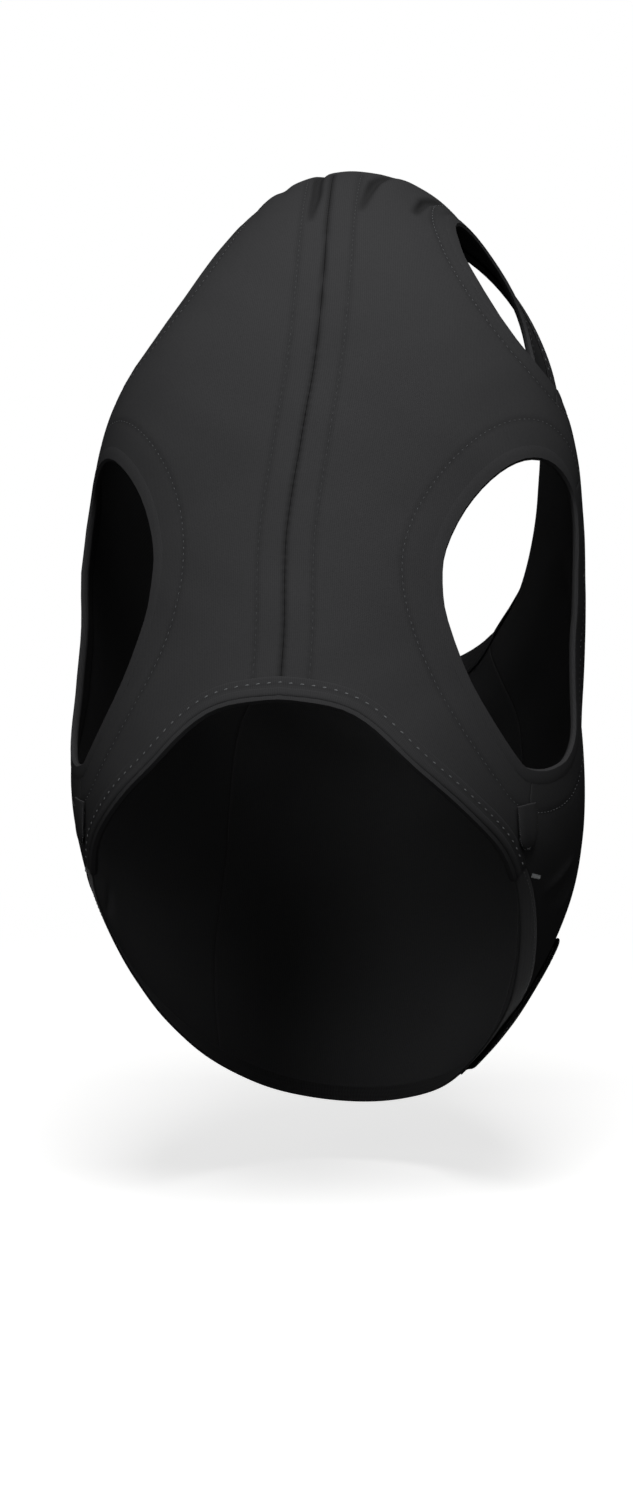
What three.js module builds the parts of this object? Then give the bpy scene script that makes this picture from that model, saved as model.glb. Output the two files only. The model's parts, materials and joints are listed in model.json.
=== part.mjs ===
// A stretch fly mask for a horse, open at the eyes and ears, in the shape it has on the head.
// Millimetres. +Z is up, the face looks to -Y, and +X is the horse's left, the near side.
// The origin is the seat of the crown on the poll: inside the cloth, midway between the ears.
import * as THREE from "three";

// The head that the mask is cut for.
const faceLength = 350; // from the poll down the face to the lowest hoop of the form
const headDepth = 290; // from the face to the underside of the jaw
const headWidth = 230; // across the cheeks
const headPitch = 32; // degrees that the face leans out of the upright

// Cloth and trims, and the air left between pieces that touch.
const clothThickness = 1.4;
const facingThickness = 1; // facings, seam tape and edge elastic lie at one level under the cloth
const bindingThickness = 0.8;
const hookThickness = 0.9;
const loopThickness = 0.9;
const layerGap = 0.6; // between one layer and the next
const seamGap = 0.4; // between two edges sewn side by side
const gripGap = 0.3; // between hooks and loops that hold

// The eye opening, a pear standing on its narrow end, measured along the cloth from its centre.
const eyeUp = 0.286 * faceLength;
const eyeDown = 0.191 * faceLength;
const eyeFront = 77;
const eyeRear = 28;
const eyeTilt = -13; // degrees
const eyeTaper = 0.02; // how much wider it is above its centre than below
const eyeFacingWidth = 18;

// The ear opening, an egg that leans back with the ear.
const earUp = 0.163 * faceLength;
const earDown = 0.168 * faceLength;
const earFront = 49;
const earRear = 38;
const earTilt = 9;
const earTaper = 0;
const earFacingWidth = 12;

// Edges and seams.
const bindingWidth = 3.5; // on the eye and ear openings
const edgeBindingWidth = 9; // on the nose, neck and throat edges
const bindingEndGap = 0.9; // from the corner by the throat to the end of each binding there
const edgeElasticWidth = 6.5;
const seamTapeWidth = 24;

// Hook-and-loop closures. A tab lies along the seam from each eye to the lower edge. The flaps are
// sewn to the jaw, one above the other, and lap forward over the slit beside the near cheek.
const tabLength = 28;
const tabWidth = 13;
const tabTilt = -42; // degrees that a tab points below the way round the head
const tabPadLength = 12;
const tabInset = 2; // from the edge of a tab to its hook pad
const flapWidth = 54; // from its sewn edge to its free edge
const flapLength = 0.183 * faceLength; // along the slit
const flapRootWidth = 6;
const flapSetback = 2; // from the slit to the sewn part of a flap
const flapEdgeGap = 3; // from the lower edge of the mask to the lowest flap
const flapSpacing = 10; // from one flap to the next
const bartackLength = 9;
const bartackWidth = 2.4;
const bartackThickness = 0.8;

// The form, hoop by hoop from the lower edge to the neck. face and jaw are where a hoop crosses the
// midline, as shares of headDepth and faceLength; half is half its width as a share of headWidth;
// widest is how far round the side that is; flat and full are how flat the brow and how full the cheek.
const hoopShares = [
  { face: [0.02, -1.0], jaw: [0.9, -1.1], half: 0.338, widest: 0.36, flat: 0.52, full: 0.46 },
  { face: [0.01, -0.86], jaw: [0.97, -0.98], half: 0.44, widest: 0.4, flat: 0.5, full: 0.66 },
  { face: [0, -0.72], jaw: [1.0, -0.85], half: 0.494, widest: 0.46, flat: 0.5, full: 0.68 },
  { face: [-0.01, -0.57], jaw: [1.01, -0.72], half: 0.484, widest: 0.38, flat: 0.55, full: 0.64 },
  { face: [-0.02, -0.43], jaw: [1.01, -0.61], half: 0.485, widest: 0.31, flat: 0.6, full: 0.62 },
  { face: [-0.01, -0.29], jaw: [1.0, -0.54], half: 0.466, widest: 0.29, flat: 0.62, full: 0.62 },
  { face: [0.04, -0.14], jaw: [0.98, -0.49], half: 0.399, widest: 0.34, flat: 0.64, full: 0.6 },
  { face: [0.13, -0.03], jaw: [0.97, -0.45], half: 0.355, widest: 0.4, flat: 0.64, full: 0.6 },
  { face: [0.26, 0.03], jaw: [0.95, -0.42], half: 0.35, widest: 0.46, flat: 0.62, full: 0.6 },
  { face: [0.41, 0.05], jaw: [0.94, -0.4], half: 0.375, widest: 0.5, flat: 0.6, full: 0.6 },
];
const sideShare = 0.57; // how straight a hoop runs at its widest, and as it turns under the jaw

// Places on the form: x is how far round from the middle of the face to the middle of the jaw,
// y how far along from the lowest hoop to the neck.
const pollShare = 0.81;
const eyeShares = [0.38, 0.283];
const earShares = [0.345, 0.725];
const lowerEdgeShares = [0.134, 0.127, 0.094, 0.079, 0.074, 0.062, 0.053, 0.05, 0.055, 0.062, 0.066];
const bandTopShare = 0.087; // along, where the jaw band meets the cheek
const faceCornerShare = 0.443; // round, where the face panel ends on the lower edge
const jawLineShare = 0.79; // round, where the cheek ends
const crownSeamShare = 0.785; // along, where the crown seam crosses the midline
const neckCornerShares = [0.42, 1];
const tabTipShares = [0.425, 0.0965];
const bartackShares = [0.482, 0.095];
const tabOutlineShares = [
  [0, 1],
  [0.16, 1],
  [0.24, 1],
  [0.42, 1],
  [0.6, 1],
  [0.76, 0.9],
  [0.88, 0.72],
  [0.96, 0.46],
  [1, 0.2],
]; // along a tab, and half its width there
const flapOutlineShares = [0.84, 1, 1, 1, 1, 1, 1, 1, 0.84]; // a flap's width, row by row
const flapAcrossShares = [0, 0.12, 0.2, 0.42, 0.58, 0.74, 0.9, 1]; // the first two are sewn down
const flapTapeCells = { rows: [1, 8], columns: [3, 7] }; // the part of a flap that its tapes fill

// Where the pattern is cut across the middle of the face, along, between its lower edge and crown.
const faceCutShares = [0.25, 0.5, 0.655];
const jawCutShares = [0.2, 0.36, 0.6]; // and across the cheek, along its edge by the jaw

// Where seams and cuts meet the openings, in degrees from the rear, going round by the front, each
// with the cells of cloth up to the next.
const eyeStops = {
  cheekSeam: { at: -70, cells: 5 },
  lowCut: { at: -150, cells: 9 },
  highCut: { at: -240, cells: 3 },
  browSeam: { at: -272, cells: 3 },
  rearHighCut: { at: -325, cells: 7 },
  rearLowCut: { at: -395, cells: 2 },
};
const earStops = {
  browSeam: { at: -85, cells: 3 },
  lowCut: { at: -160, cells: 6 },
  crownSeam: { at: -242, cells: 5 },
  crownSide: { at: -318, cells: 5 },
  rearCut: { at: -400, cells: 3 },
};

// Cells of cloth along each seam and across each strip.
const cells = {
  face: 8,
  corner: 1,
  cheekSeam: 3,
  browSeam: 4,
  crownSide: 5,
  cheek: 7,
  jaw: 14,
  band: 9,
  bandAcross: 2,
  facing: 2,
  edge: 3,
  elastic: 2,
  tape: 2,
  tapeLong: 24,
  tab: 4,
  pad: 3,
};

const { clamp, degToRad } = THREE.MathUtils;
const spot = (round, along) => new THREE.Vector2(round, along);

// The four lines that the hoops are strung on.
const line = (pointOf) =>
  new THREE.CatmullRomCurve3(
    hoopShares.map((hoop) => new THREE.Vector3(...pointOf(hoop))),
    false,
    "catmullrom",
    0.5,
  );
const faceLine = line(({ face: [y, z] }) => [0, y * headDepth, z * faceLength]);
const jawLine = line(({ jaw: [y, z] }) => [0, y * headDepth, z * faceLength]);
const girthLine = line(({ half, widest }) => [half * headWidth, widest, 0]);
const fullnessLine = line(({ flat, full }) => [flat, full, 0]);

// One coordinate of a cubic Bezier curve.
function bezier(a, b, c, d, t) {
  const s = 1 - t;
  return s * s * s * a + 3 * s * s * t * b + 3 * s * t * t * c + t * t * t * d;
}

// A point of a line, which runs straight on past its ends.
const nudge = 1e-4;
function onLine(curve, share) {
  const within = clamp(share, 0, 1);
  const point = curve.getPoint(within);
  if (share === within) return point;
  const inner = curve.getPoint(within + (share > 1 ? -nudge : nudge));
  return point.addScaledVector(point.clone().sub(inner), Math.abs(share - within) / nudge);
}

// A point of the bare form, before the head is pitched.
function formPoint(round, along) {
  const turn = round > 1 ? round - 2 : round < -1 ? round + 2 : round;
  const face = onLine(faceLine, along);
  const jaw = onLine(jawLine, along);
  const { x: half, y: widest } = onLine(girthLine, along);
  const { x: flat, y: full } = onLine(fullnessLine, along);
  const share = Math.abs(turn) * 2;
  const [across, depth] =
    share <= 1
      ? [
          bezier(0, flat * half, half, half, share),
          bezier(0, 0, widest * (1 - sideShare), widest, share),
        ]
      : [
          bezier(half, half, sideShare * half, 0, share - 1),
          bezier(widest, widest + (1 - widest) * full, 1, 1, share - 1),
        ];
  const point = face.lerp(jaw, depth);
  point.x = across * Math.sign(turn);
  return point;
}

const pitch = new THREE.Matrix4().makeRotationX(-degToRad(headPitch));
const seat = formPoint(0, pollShare).applyMatrix4(pitch);

const onForm = ({ x, y }) => formPoint(x, y);

// The directions of the form at a place, in millimetres for each unit round and along.
function slopes({ x, y }) {
  const round = formPoint(x + nudge, y).sub(formPoint(x - nudge, y)).divideScalar(2 * nudge);
  const along = formPoint(x, y + nudge).sub(formPoint(x, y - nudge)).divideScalar(2 * nudge);
  return { round, along, out: round.clone().cross(along).normalize() };
}

// A point at a height over the form, in the frame of the mask.
function onHead(place, lift = 0) {
  const point = formPoint(place.x, place.y);
  if (lift) point.addScaledVector(slopes(place).out, lift);
  return point.applyMatrix4(pitch).sub(seat);
}

// The place that lies a distance along the cloth from another, in a direction of the form. It is
// walked in strides, so that the way follows the curve of the cloth.
const stride = 3;
function moved(place, direction, distance) {
  const strides = Math.ceil(Math.abs(distance) / stride);
  const at = place.clone();
  for (let k = 0; k < strides; k++) {
    const { round, along } = slopes(at);
    const [rr, ra, aa] = [round.dot(round), round.dot(along), along.dot(along)];
    const [r, a] = [round.dot(direction), along.dot(direction)];
    const [across, up] = [r * aa - a * ra, a * rr - r * ra];
    const length = Math.sqrt(across * across * rr + 2 * across * up * ra + up * up * aa);
    const scale = distance / strides / length;
    at.x += across * scale;
    at.y += up * scale;
  }
  return at;
}

// The place beside a path: to its right, seen from outside the head.
function beside(path, i, distance, closed = false) {
  const last = path.length - 1;
  const before = path[closed ? (i + last) % (last + 1) : Math.max(i - 1, 0)];
  const after = path[closed ? (i + 1) % (last + 1) : Math.min(i + 1, last)];
  const { round, along, out } = slopes(path[i]);
  const step = round
    .multiplyScalar(after.x - before.x)
    .addScaledVector(along, after.y - before.y)
    .normalize();
  return moved(path[i], step.cross(out), distance);
}

// A path whose places are taken off its curve at even steps.
const stepped = (count, at) => Array.from({ length: count + 1 }, (_, i) => at(i / count));
const straight = (from, to, count) => stepped(count, (t) => from.clone().lerp(to, t));
const joined = (...paths) => paths.flatMap((path, i) => (i ? path.slice(1) : path));
const across = (path) => path.map(({ x, y }) => spot(-x, y));

// A path with both ends drawn in by a distance.
function shortened(path, distance) {
  const drawn = (end, next) => end.clone().lerp(next, distance / onHead(end).distanceTo(onHead(next)));
  return [drawn(path[0], path[1]), ...path.slice(1, -1), drawn(path.at(-1), path.at(-2))];
}

// A small flat drawing laid on the head: distances back and up from a place, turned by a tilt.
function laid([round, along], tilt) {
  const unit = slopes(spot(round, along));
  const [c, s] = [Math.cos(degToRad(tilt)), Math.sin(degToRad(tilt))];
  return (back, up) =>
    spot(
      round + (back * c - up * s) / unit.round.length(),
      along + (back * s + up * c) / unit.along.length(),
    );
}

// An opening: an egg about its centre.
function opening(centre, up, down, front, rear, tilt, taper) {
  const at = laid(centre, tilt);
  return (degrees) => {
    const [c, s] = [Math.cos(degToRad(degrees)), Math.sin(degToRad(degrees))];
    return at((c < 0 ? front : rear) * c * (1 - taper * s), (s > 0 ? up : down) * s);
  };
}

// A strip of places between two distances in from an edge.
function strip(path, side, from, to, count, closed = false) {
  return path.map((_, i) =>
    stepped(count, (t) => beside(path, i, (from + (to - from) * t) * side, closed)),
  );
}

// The edge of an opening and the strip of cloth round it, both cut up at its stops.
function surround(at, stops, width) {
  const list = Object.values(stops);
  const turns = list.flatMap((stop, k) => {
    const end = k + 1 < list.length ? list[k + 1].at : list[0].at - 360;
    return stepped(stop.cells, (t) => stop.at + (end - stop.at) * t).slice(0, -1);
  });
  const rows = strip(turns.map(at), -1, 0, width, cells.facing, true);
  const parts = {};
  let first = 0;
  for (const [name, stop] of Object.entries(stops)) {
    parts[name] = stepped(stop.cells, (t) => rows[(first + Math.round(t * stop.cells)) % rows.length]);
    first += stop.cells;
  }
  return { rows, parts };
}
const eyeAt = opening(eyeShares, eyeUp, eyeDown, eyeFront, eyeRear, eyeTilt, -eyeTaper);
const earAt = opening(earShares, earUp, earDown, earFront, earRear, earTilt, -earTaper);
const eye = surround(eyeAt, eyeStops, eyeFacingWidth);
const ear = surround(earAt, earStops, earFacingWidth);
const outer = (part) => part.map((row) => row[row.length - 1]);
const backwards = (path) => [...path].reverse();

// The lower edge of the mask at a place round the head.
const lowerEdge = new THREE.CatmullRomCurve3(
  lowerEdgeShares.map((y, i) => new THREE.Vector3(i / (lowerEdgeShares.length - 1), y, 0)),
  false,
  "catmullrom",
  0.5,
);
function onLowerEdge(round) {
  const turn = Math.abs(round);
  return spot(round, lowerEdge.getPoint(turn > 1 ? 2 - turn : turn).y);
}
const lowerEdgePath = (from, to, count) =>
  stepped(count, (t) => onLowerEdge(from + (to - from) * t));

// The seams of the near half. The off half mirrors them.
const faceCorner = onLowerEdge(faceCornerShare);
const bandCorner = spot(faceCornerShare, bandTopShare);
const jawCorner = spot(jawLineShare, bandTopShare);
const neckCorner = spot(...neckCornerShares);
const throatCorner = spot(jawLineShare, 1);
const eyeOuter = Object.fromEntries(Object.entries(eye.parts).map(([k, part]) => [k, outer(part)]));
const earOuter = Object.fromEntries(Object.entries(ear.parts).map(([k, part]) => [k, outer(part)]));
const centre = [lowerEdgeShares[0], ...faceCutShares, crownSeamShare].map((along) => spot(0, along));
const noseEdge = lowerEdgePath(0, faceCornerShare, cells.face + eyeStops.cheekSeam.cells);
const cheekSeam = straight(bandCorner, eyeOuter.cheekSeam[0], cells.cheekSeam);
const browSeam = straight(eyeOuter.browSeam[0], earOuter.browSeam[0], cells.browSeam);
const crownSeam = straight(centre[4], earOuter.crownSeam[0], cells.face);
const crownSide = straight(earOuter.crownSide[0], neckCorner, cells.crownSide);
const neckSide = straight(neckCorner, throatCorner, cells.cheek);
const neckTop = straight(neckCorner, spot(0, 1), earStops.crownSeam.cells + cells.face);
const jawEdge = [bandTopShare, ...jawCutShares, 1].map((along) => spot(jawLineShare, along));
const jawRows = [
  cells.cheekSeam,
  eyeStops.rearHighCut.cells,
  cells.browSeam,
  earStops.crownSide.cells + cells.crownSide,
];
const jawParts = jawRows.map((rows, k) => straight(jawEdge[k], jawEdge[k + 1], rows));
const cheekFront = straight(bandCorner, jawCorner, cells.cheek + eyeStops.rearLowCut.cells);

// A sheet of places stretched between four paths that meet at its corners.
function patch(bottom, right, top, left) {
  const rows = left.length - 1;
  const columns = bottom.length - 1;
  return left.map((start, i) =>
    bottom.map((foot, j) => {
      const [s, t] = [j / columns, i / rows];
      const sides = start.clone().lerp(right[i], s);
      const ends = foot.clone().lerp(top[j], t);
      const low = bottom[0].clone().lerp(bottom[columns], s);
      const high = top[0].clone().lerp(top[columns], s);
      return sides.add(ends).sub(low.lerp(high, t));
    }),
  );
}

// The same sheet with its inner places evened out, so that no cell folds over another.
const evenings = 80;
function evened(sheet) {
  for (let n = 0; n < evenings; n++) {
    for (let i = 1; i < sheet.length - 1; i++) {
      for (let j = 1; j < sheet[i].length - 1; j++) {
        const [low, row, high] = [sheet[i - 1], sheet[i], sheet[i + 1]];
        const across = row[j + 1].clone().sub(row[j - 1]);
        const up = high[j].clone().sub(low[j]);
        const [a, b, c] = [up.lengthSq(), across.dot(up), across.lengthSq()];
        const skew = high[j + 1].clone().sub(high[j - 1]).sub(low[j + 1]).add(low[j - 1]);
        const sum = row[j + 1].clone().add(row[j - 1]).multiplyScalar(a);
        sum.addScaledVector(high[j].clone().add(low[j]), c).addScaledVector(skew, -b / 2);
        row[j].copy(sum.divideScalar(2 * (a + c)));
      }
    }
  }
  return sheet;
}

// A closed body from rings or rows of points and the triangles between them, facing out.
function body(points, triangles) {
  const volume = triangles.reduce((sum, [a, b, c]) => {
    const normal = points[b].clone().cross(points[c]);
    return sum + points[a].dot(normal);
  }, 0);
  const index = triangles.flatMap(([a, b, c]) => (volume < 0 ? [a, c, b] : [a, b, c]));
  const geometry = new THREE.BufferGeometry().setFromPoints(points);
  geometry.setIndex(index);
  geometry.computeVertexNormals();
  return geometry;
}
const quad = (a, b, c, d) => [
  [a, b, c],
  [a, c, d],
];

// A sheet with thickness. low and high are its faces' heights over the form, as numbers or as
// functions of row and column; a closed sheet joins its last row to its first.
function layer(sheet, low, high, closed = false) {
  const height = (value, i, j) => (typeof value === "function" ? value(i, j) : value);
  const rows = sheet.length;
  const columns = sheet[0].length;
  const face = (value) =>
    sheet.flatMap((row, i) => row.map((place, j) => onHead(place, height(value, i, j))));
  const points = [...face(low), ...face(high)];
  const under = (i, j) => (i % rows) * columns + j;
  const over = (i, j) => rows * columns + under(i, j);
  const triangles = [];
  for (let i = 0; i < (closed ? rows : rows - 1); i++) {
    for (let j = 0; j < columns - 1; j++) {
      triangles.push(...quad(under(i, j), under(i + 1, j), under(i + 1, j + 1), under(i, j + 1)));
      triangles.push(...quad(over(i, j), over(i, j + 1), over(i + 1, j + 1), over(i + 1, j)));
    }
    triangles.push(...quad(under(i, 0), over(i, 0), over(i + 1, 0), under(i + 1, 0)));
    const end = columns - 1;
    triangles.push(...quad(under(i, end), under(i + 1, end), over(i + 1, end), over(i, end)));
  }
  if (!closed) {
    for (let j = 0; j < columns - 1; j++) {
      triangles.push(...quad(under(0, j), under(0, j + 1), over(0, j + 1), over(0, j)));
      const last = rows - 1;
      triangles.push(...quad(under(last, j), over(last, j), over(last, j + 1), under(last, j + 1)));
    }
  }
  return body(points, triangles);
}

// One piece of cloth from sheets that share places along their sides. Its rim is drawn in a little.
const fineness = 1e6;
function cloth(sheets, inset) {
  const places = [];
  const found = new Map();
  const numberOf = (place) => {
    const key = `${Math.round(place.x * fineness)} ${Math.round(place.y * fineness)}`;
    if (!found.has(key)) found.set(key, places.push(place) - 1);
    return found.get(key);
  };
  const patches = sheets.flatMap((sheet) => {
    const numbers = sheet.map((row) => row.map(numberOf));
    const found = [];
    for (let i = 0; i < numbers.length - 1; i++) {
      for (let j = 0; j < numbers[i].length - 1; j++) {
        found.push([numbers[i][j], numbers[i][j + 1], numbers[i + 1][j + 1], numbers[i + 1][j]]);
      }
    }
    const area = found.reduce((sum, corners) => {
      return sum + THREE.ShapeUtils.area(corners.map((n) => places[n]));
    }, 0);
    return area < 0 ? found.map(([a, b, c, d]) => [a, d, c, b]) : found;
  });
  const sides = patches.flatMap((corners) => corners.map((n, k) => [n, corners[(k + 1) % 4]]));
  const known = new Set(sides.map(([a, b]) => `${a} ${b}`));
  const rim = sides.filter(([a, b]) => !known.has(`${b} ${a}`));
  const before = new Map(rim.map(([a, b]) => [b, a]));
  const drawn = [...places];
  for (const [a, b] of rim) {
    const { out } = slopes(places[a]);
    const [last, here, next] = [before.get(a), a, b].map((n) => onForm(places[n]));
    const [arrive, leave] = [here.clone().sub(last), next.sub(here)].map((step) =>
      out.clone().cross(step).normalize(),
    );
    const way = arrive.clone().add(leave).normalize();
    drawn[a] = moved(places[a], way, inset / way.dot(leave));
  }
  const under = drawn.map((place) => onHead(place));
  const over = drawn.map((place) => onHead(place, clothTop));
  const triangles = patches.flatMap(([a, b, c, d]) => [
    ...quad(a, d, c, b),
    ...quad(...[a, b, c, d].map((n) => n + places.length)),
  ]);
  for (const [a, b] of rim) triangles.push(...quad(a, b, b + places.length, a + places.length));
  return body([...under, ...over], triangles);
}

// A binding: rungs of two [distance in from the edge, height over the form] swept along an edge.
function binding(path, rungs, side, closed = false) {
  const section = [...rungs.map(([outside]) => outside), ...rungs.map(([, inside]) => inside).reverse()];
  const points = path.flatMap((_, i) =>
    section.map(([inset, lift]) => onHead(beside(path, i, inset * side, closed), lift)),
  );
  const sides = section.length;
  const at = (i, k) => (i % path.length) * sides + (k % sides);
  const triangles = [];
  for (let i = 0; i < (closed ? path.length : path.length - 1); i++) {
    for (let k = 0; k < sides; k++) {
      triangles.push(...quad(at(i, k), at(i + 1, k), at(i + 1, k + 1), at(i, k + 1)));
    }
  }
  if (!closed) {
    const last = path.length - 1;
    for (let k = 0; k < rungs.length - 1; k++) {
      const corners = [k, k + 1, sides - 2 - k, sides - 1 - k];
      triangles.push(...quad(...corners.map((n) => at(0, n))));
      triangles.push(...quad(...corners.map((n) => at(last, n)).reverse()));
    }
  }
  return body(points, triangles);
}

// Heights of the layers over the form. The cloth's inside is the form itself.
const clothTop = clothThickness;
const facingTop = -layerGap;
const facingBottom = facingTop - facingThickness;
const loopBottom = clothTop + layerGap;
const loopTop = loopBottom + loopThickness;
const hookBottom = loopTop + gripGap;
const hookTop = hookBottom + hookThickness;
const flapBottom = hookTop + gripGap;

// The rungs of a U that folds over the cloth and what lies under it. steps are cells of each leg.
function foldedSection(width, steps) {
  const [inner, outer] = [facingBottom - layerGap, clothTop + layerGap];
  const leg = (height, thickness) =>
    stepped(steps, (t) => {
      const atEdge = t === 0;
      const outside = [atEdge ? -seamGap - bindingThickness : width * t, height + thickness];
      const inside = [atEdge ? -seamGap : width * t, height];
      return [outside, inside];
    });
  return [...leg(inner, -bindingThickness).reverse(), ...leg(outer, bindingThickness)];
}

const finishes = {
  knit: { color: 0x333435, roughness: 0.85, metalness: 0 },
  facing: { color: 0x2b2b2c, roughness: 0.9, metalness: 0 },
  binding: { color: 0x3a3b3c, roughness: 0.8, metalness: 0 },
  webbing: { color: 0x3c3d3e, roughness: 0.75, metalness: 0 },
  hook: { color: 0x1c1c1d, roughness: 0.6, metalness: 0 },
  loop: { color: 0x262627, roughness: 1, metalness: 0 },
  thread: { color: 0x77797a, roughness: 0.6, metalness: 0 },
};
const mask = new THREE.Group();
function add(name, finish, geometry) {
  const mesh = new THREE.Mesh(geometry, new THREE.MeshStandardMaterial(finishes[finish]));
  mesh.name = name;
  mask.add(mesh);
}

// The face and cheek panels, cut where the pattern is, and joined into one piece of cloth each.
const sides = [
  { side: "left", half: (path) => path, turn: 1 },
  { side: "right", half: across, turn: -1 },
];
const cuts = [
  straight(centre[1], eyeOuter.lowCut[0], cells.face),
  straight(centre[2], eyeOuter.highCut[0], cells.face),
  straight(centre[3], earOuter.lowCut[0], cells.face),
];
const corner = straight(faceCorner, bandCorner, cells.corner);
const centrePart = (k, rows) => straight(centre[k], centre[k + 1], rows);
const faceSheets = [
  patch(
    noseEdge,
    joined(corner, cheekSeam),
    joined(cuts[0], backwards(eyeOuter.cheekSeam)),
    centrePart(0, cells.corner + cells.cheekSeam),
  ),
  patch(cuts[0], eyeOuter.lowCut, cuts[1], centrePart(1, eyeStops.lowCut.cells)),
  patch(
    joined(cuts[1], eyeOuter.highCut),
    browSeam,
    joined(cuts[2], backwards(earOuter.browSeam)),
    centrePart(2, cells.browSeam),
  ),
  patch(cuts[2], earOuter.lowCut, crownSeam, centrePart(3, earStops.lowCut.cells)),
];
const cheekCuts = [
  straight(eyeOuter.rearLowCut[0], jawEdge[1], cells.cheek),
  straight(eyeOuter.rearHighCut[0], jawEdge[2], cells.cheek),
  straight(earOuter.rearCut[0], jawEdge[3], cells.cheek),
];
const cheekSheets = [
  patch(
    cheekFront,
    jawParts[0],
    joined(backwards(eyeOuter.rearLowCut), cheekCuts[0]),
    cheekSeam,
  ),
  patch(cheekCuts[0], jawParts[1], cheekCuts[1], backwards(eyeOuter.rearHighCut)),
  patch(
    joined(eyeOuter.browSeam, cheekCuts[1]),
    jawParts[2],
    joined(backwards(earOuter.rearCut), cheekCuts[2]),
    browSeam,
  ),
  patch(cheekCuts[2], jawParts[3], neckSide, joined(backwards(earOuter.crownSide), crownSide)),
];
const cheekStrips = [
  eye.parts.browSeam,
  eye.parts.rearHighCut,
  eye.parts.rearLowCut,
  ear.parts.crownSide,
  ear.parts.rearCut,
];
const faceStrips = [eye.parts.cheekSeam, eye.parts.lowCut, eye.parts.highCut, ear.parts.browSeam];
const facePieces = [...faceSheets.map(evened), ...faceStrips, ear.parts.lowCut];
const cheekPieces = [...cheekSheets.map(evened), ...cheekStrips];
for (const { side, half } of sides) {
  const mirrored = (sheets) => sheets.map((sheet) => sheet.map(half));
  add(`face_panel_${side}`, "knit", cloth(mirrored(facePieces), seamGap / 2));
  add(`cheek_panel_${side}`, "knit", cloth(mirrored(cheekPieces), seamGap / 2));
}

// The crown, from the near ear over the poll to the off ear.
const crownFront = joined(backwards(earOuter.crownSeam), backwards(crownSeam));
const crownHalf = evened(patch(crownFront, straight(centre[4], spot(0, 1), cells.crownSide), neckTop, crownSide));
const crownPieces = [crownHalf, ear.parts.crownSeam];
const crownBoth = [...crownPieces, ...crownPieces.map((sheet) => sheet.map(across))];
add("crown_panel", "knit", cloth(crownBoth, seamGap / 2));

// The jaw, from the near cheek under the jaw to the off cheek.
const beyondJaw = (path) => path.map(({ x, y }) => spot(2 - x, y));
const cheekJaw = joined(...jawParts);
const jaw = patch(
  straight(jawCorner, spot(2 - jawLineShare, bandTopShare), cells.jaw),
  beyondJaw(cheekJaw),
  straight(throatCorner, spot(2 - jawLineShare, 1), cells.jaw),
  cheekJaw,
);
add("jaw_panel", "knit", cloth([jaw], seamGap / 2));

// Facings under the cloth and bindings round the openings.
for (const [name, { rows }] of Object.entries({ eye, ear })) {
  for (const { side, half, turn } of sides) {
    const facing = rows.map(half);
    add(`${name}_facing_${side}`, "facing", layer(facing, facingBottom, facingTop, true));
    const edge = facing.map(([place]) => place);
    const fold = binding(edge, foldedSection(bindingWidth, 1), -turn, true);
    add(`${name}_binding_${side}`, "binding", fold);
  }
}

// Bound edges with elastic inside: over the nose, round the neck and under the throat.
const noseWhole = joined(across(backwards(noseEdge)), noseEdge);
const neckHalf = joined(backwards(neckTop), neckSide);
const neckWhole = joined(across(backwards(neckHalf)), neckHalf);
const throatWhole = straight(throatCorner, spot(2 - jawLineShare, 1), cells.jaw);
const edges = [
  { name: "nose", path: noseWhole, inward: -1 },
  { name: "neck", path: shortened(neckWhole, bindingEndGap), inward: 1 },
  { name: "throat", path: shortened(throatWhole, bindingEndGap), inward: 1 },
];
for (const { name, path, inward } of edges) {
  const fold = binding(path, foldedSection(edgeBindingWidth, cells.edge), inward);
  add(`${name}_edge_binding`, "binding", fold);
  const elastic = strip(path, inward, 0, edgeElasticWidth, cells.elastic);
  add(`${name}_edge_elastic`, "webbing", layer(elastic, facingBottom, facingTop));
}

// The webbing along the lower edge of the cheeks and jaw, open at the slit by the near cheek.
const bands = [
  { name: "cheek_band_left", from: faceCornerShare, to: jawLineShare },
  { name: "jaw_band", from: jawLineShare, to: 2 - faceCornerShare },
];
for (const { name, from, to } of bands) {
  const count = Math.round((cells.band * (to - from)) / (jawLineShare - faceCornerShare));
  const low = lowerEdgePath(from, to, count);
  const high = straight(spot(from, bandTopShare), spot(to, bandTopShare), count);
  const end = (k) => straight(low[k], high[k], cells.bandAcross);
  const band = patch(low, end(count), high, end(0));
  add(name, "webbing", cloth([band], seamGap / 2));
}

// The tape under the centre seam.
const tapeClear = (edgeBindingWidth + layerGap) / slopes(noseEdge[0]).along.length();
const tapePath = straight(
  spot(0, lowerEdgeShares[0] + tapeClear),
  spot(0, crownSeamShare - tapeClear),
  cells.tapeLong,
);
const tape = strip(tapePath, 1, -seamTapeWidth / 2, seamTapeWidth / 2, cells.tape);
add("centre_seam_tape", "webbing", layer(tape, facingBottom, facingTop));

// A rectangle of places on a drawing laid on the head.
const rectangle = (at, back, front, half, rows, columns) =>
  stepped(rows, (t) =>
    stepped(columns, (s) => at(back + (front - back) * t, half * (2 * s - 1))),
  );

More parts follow.
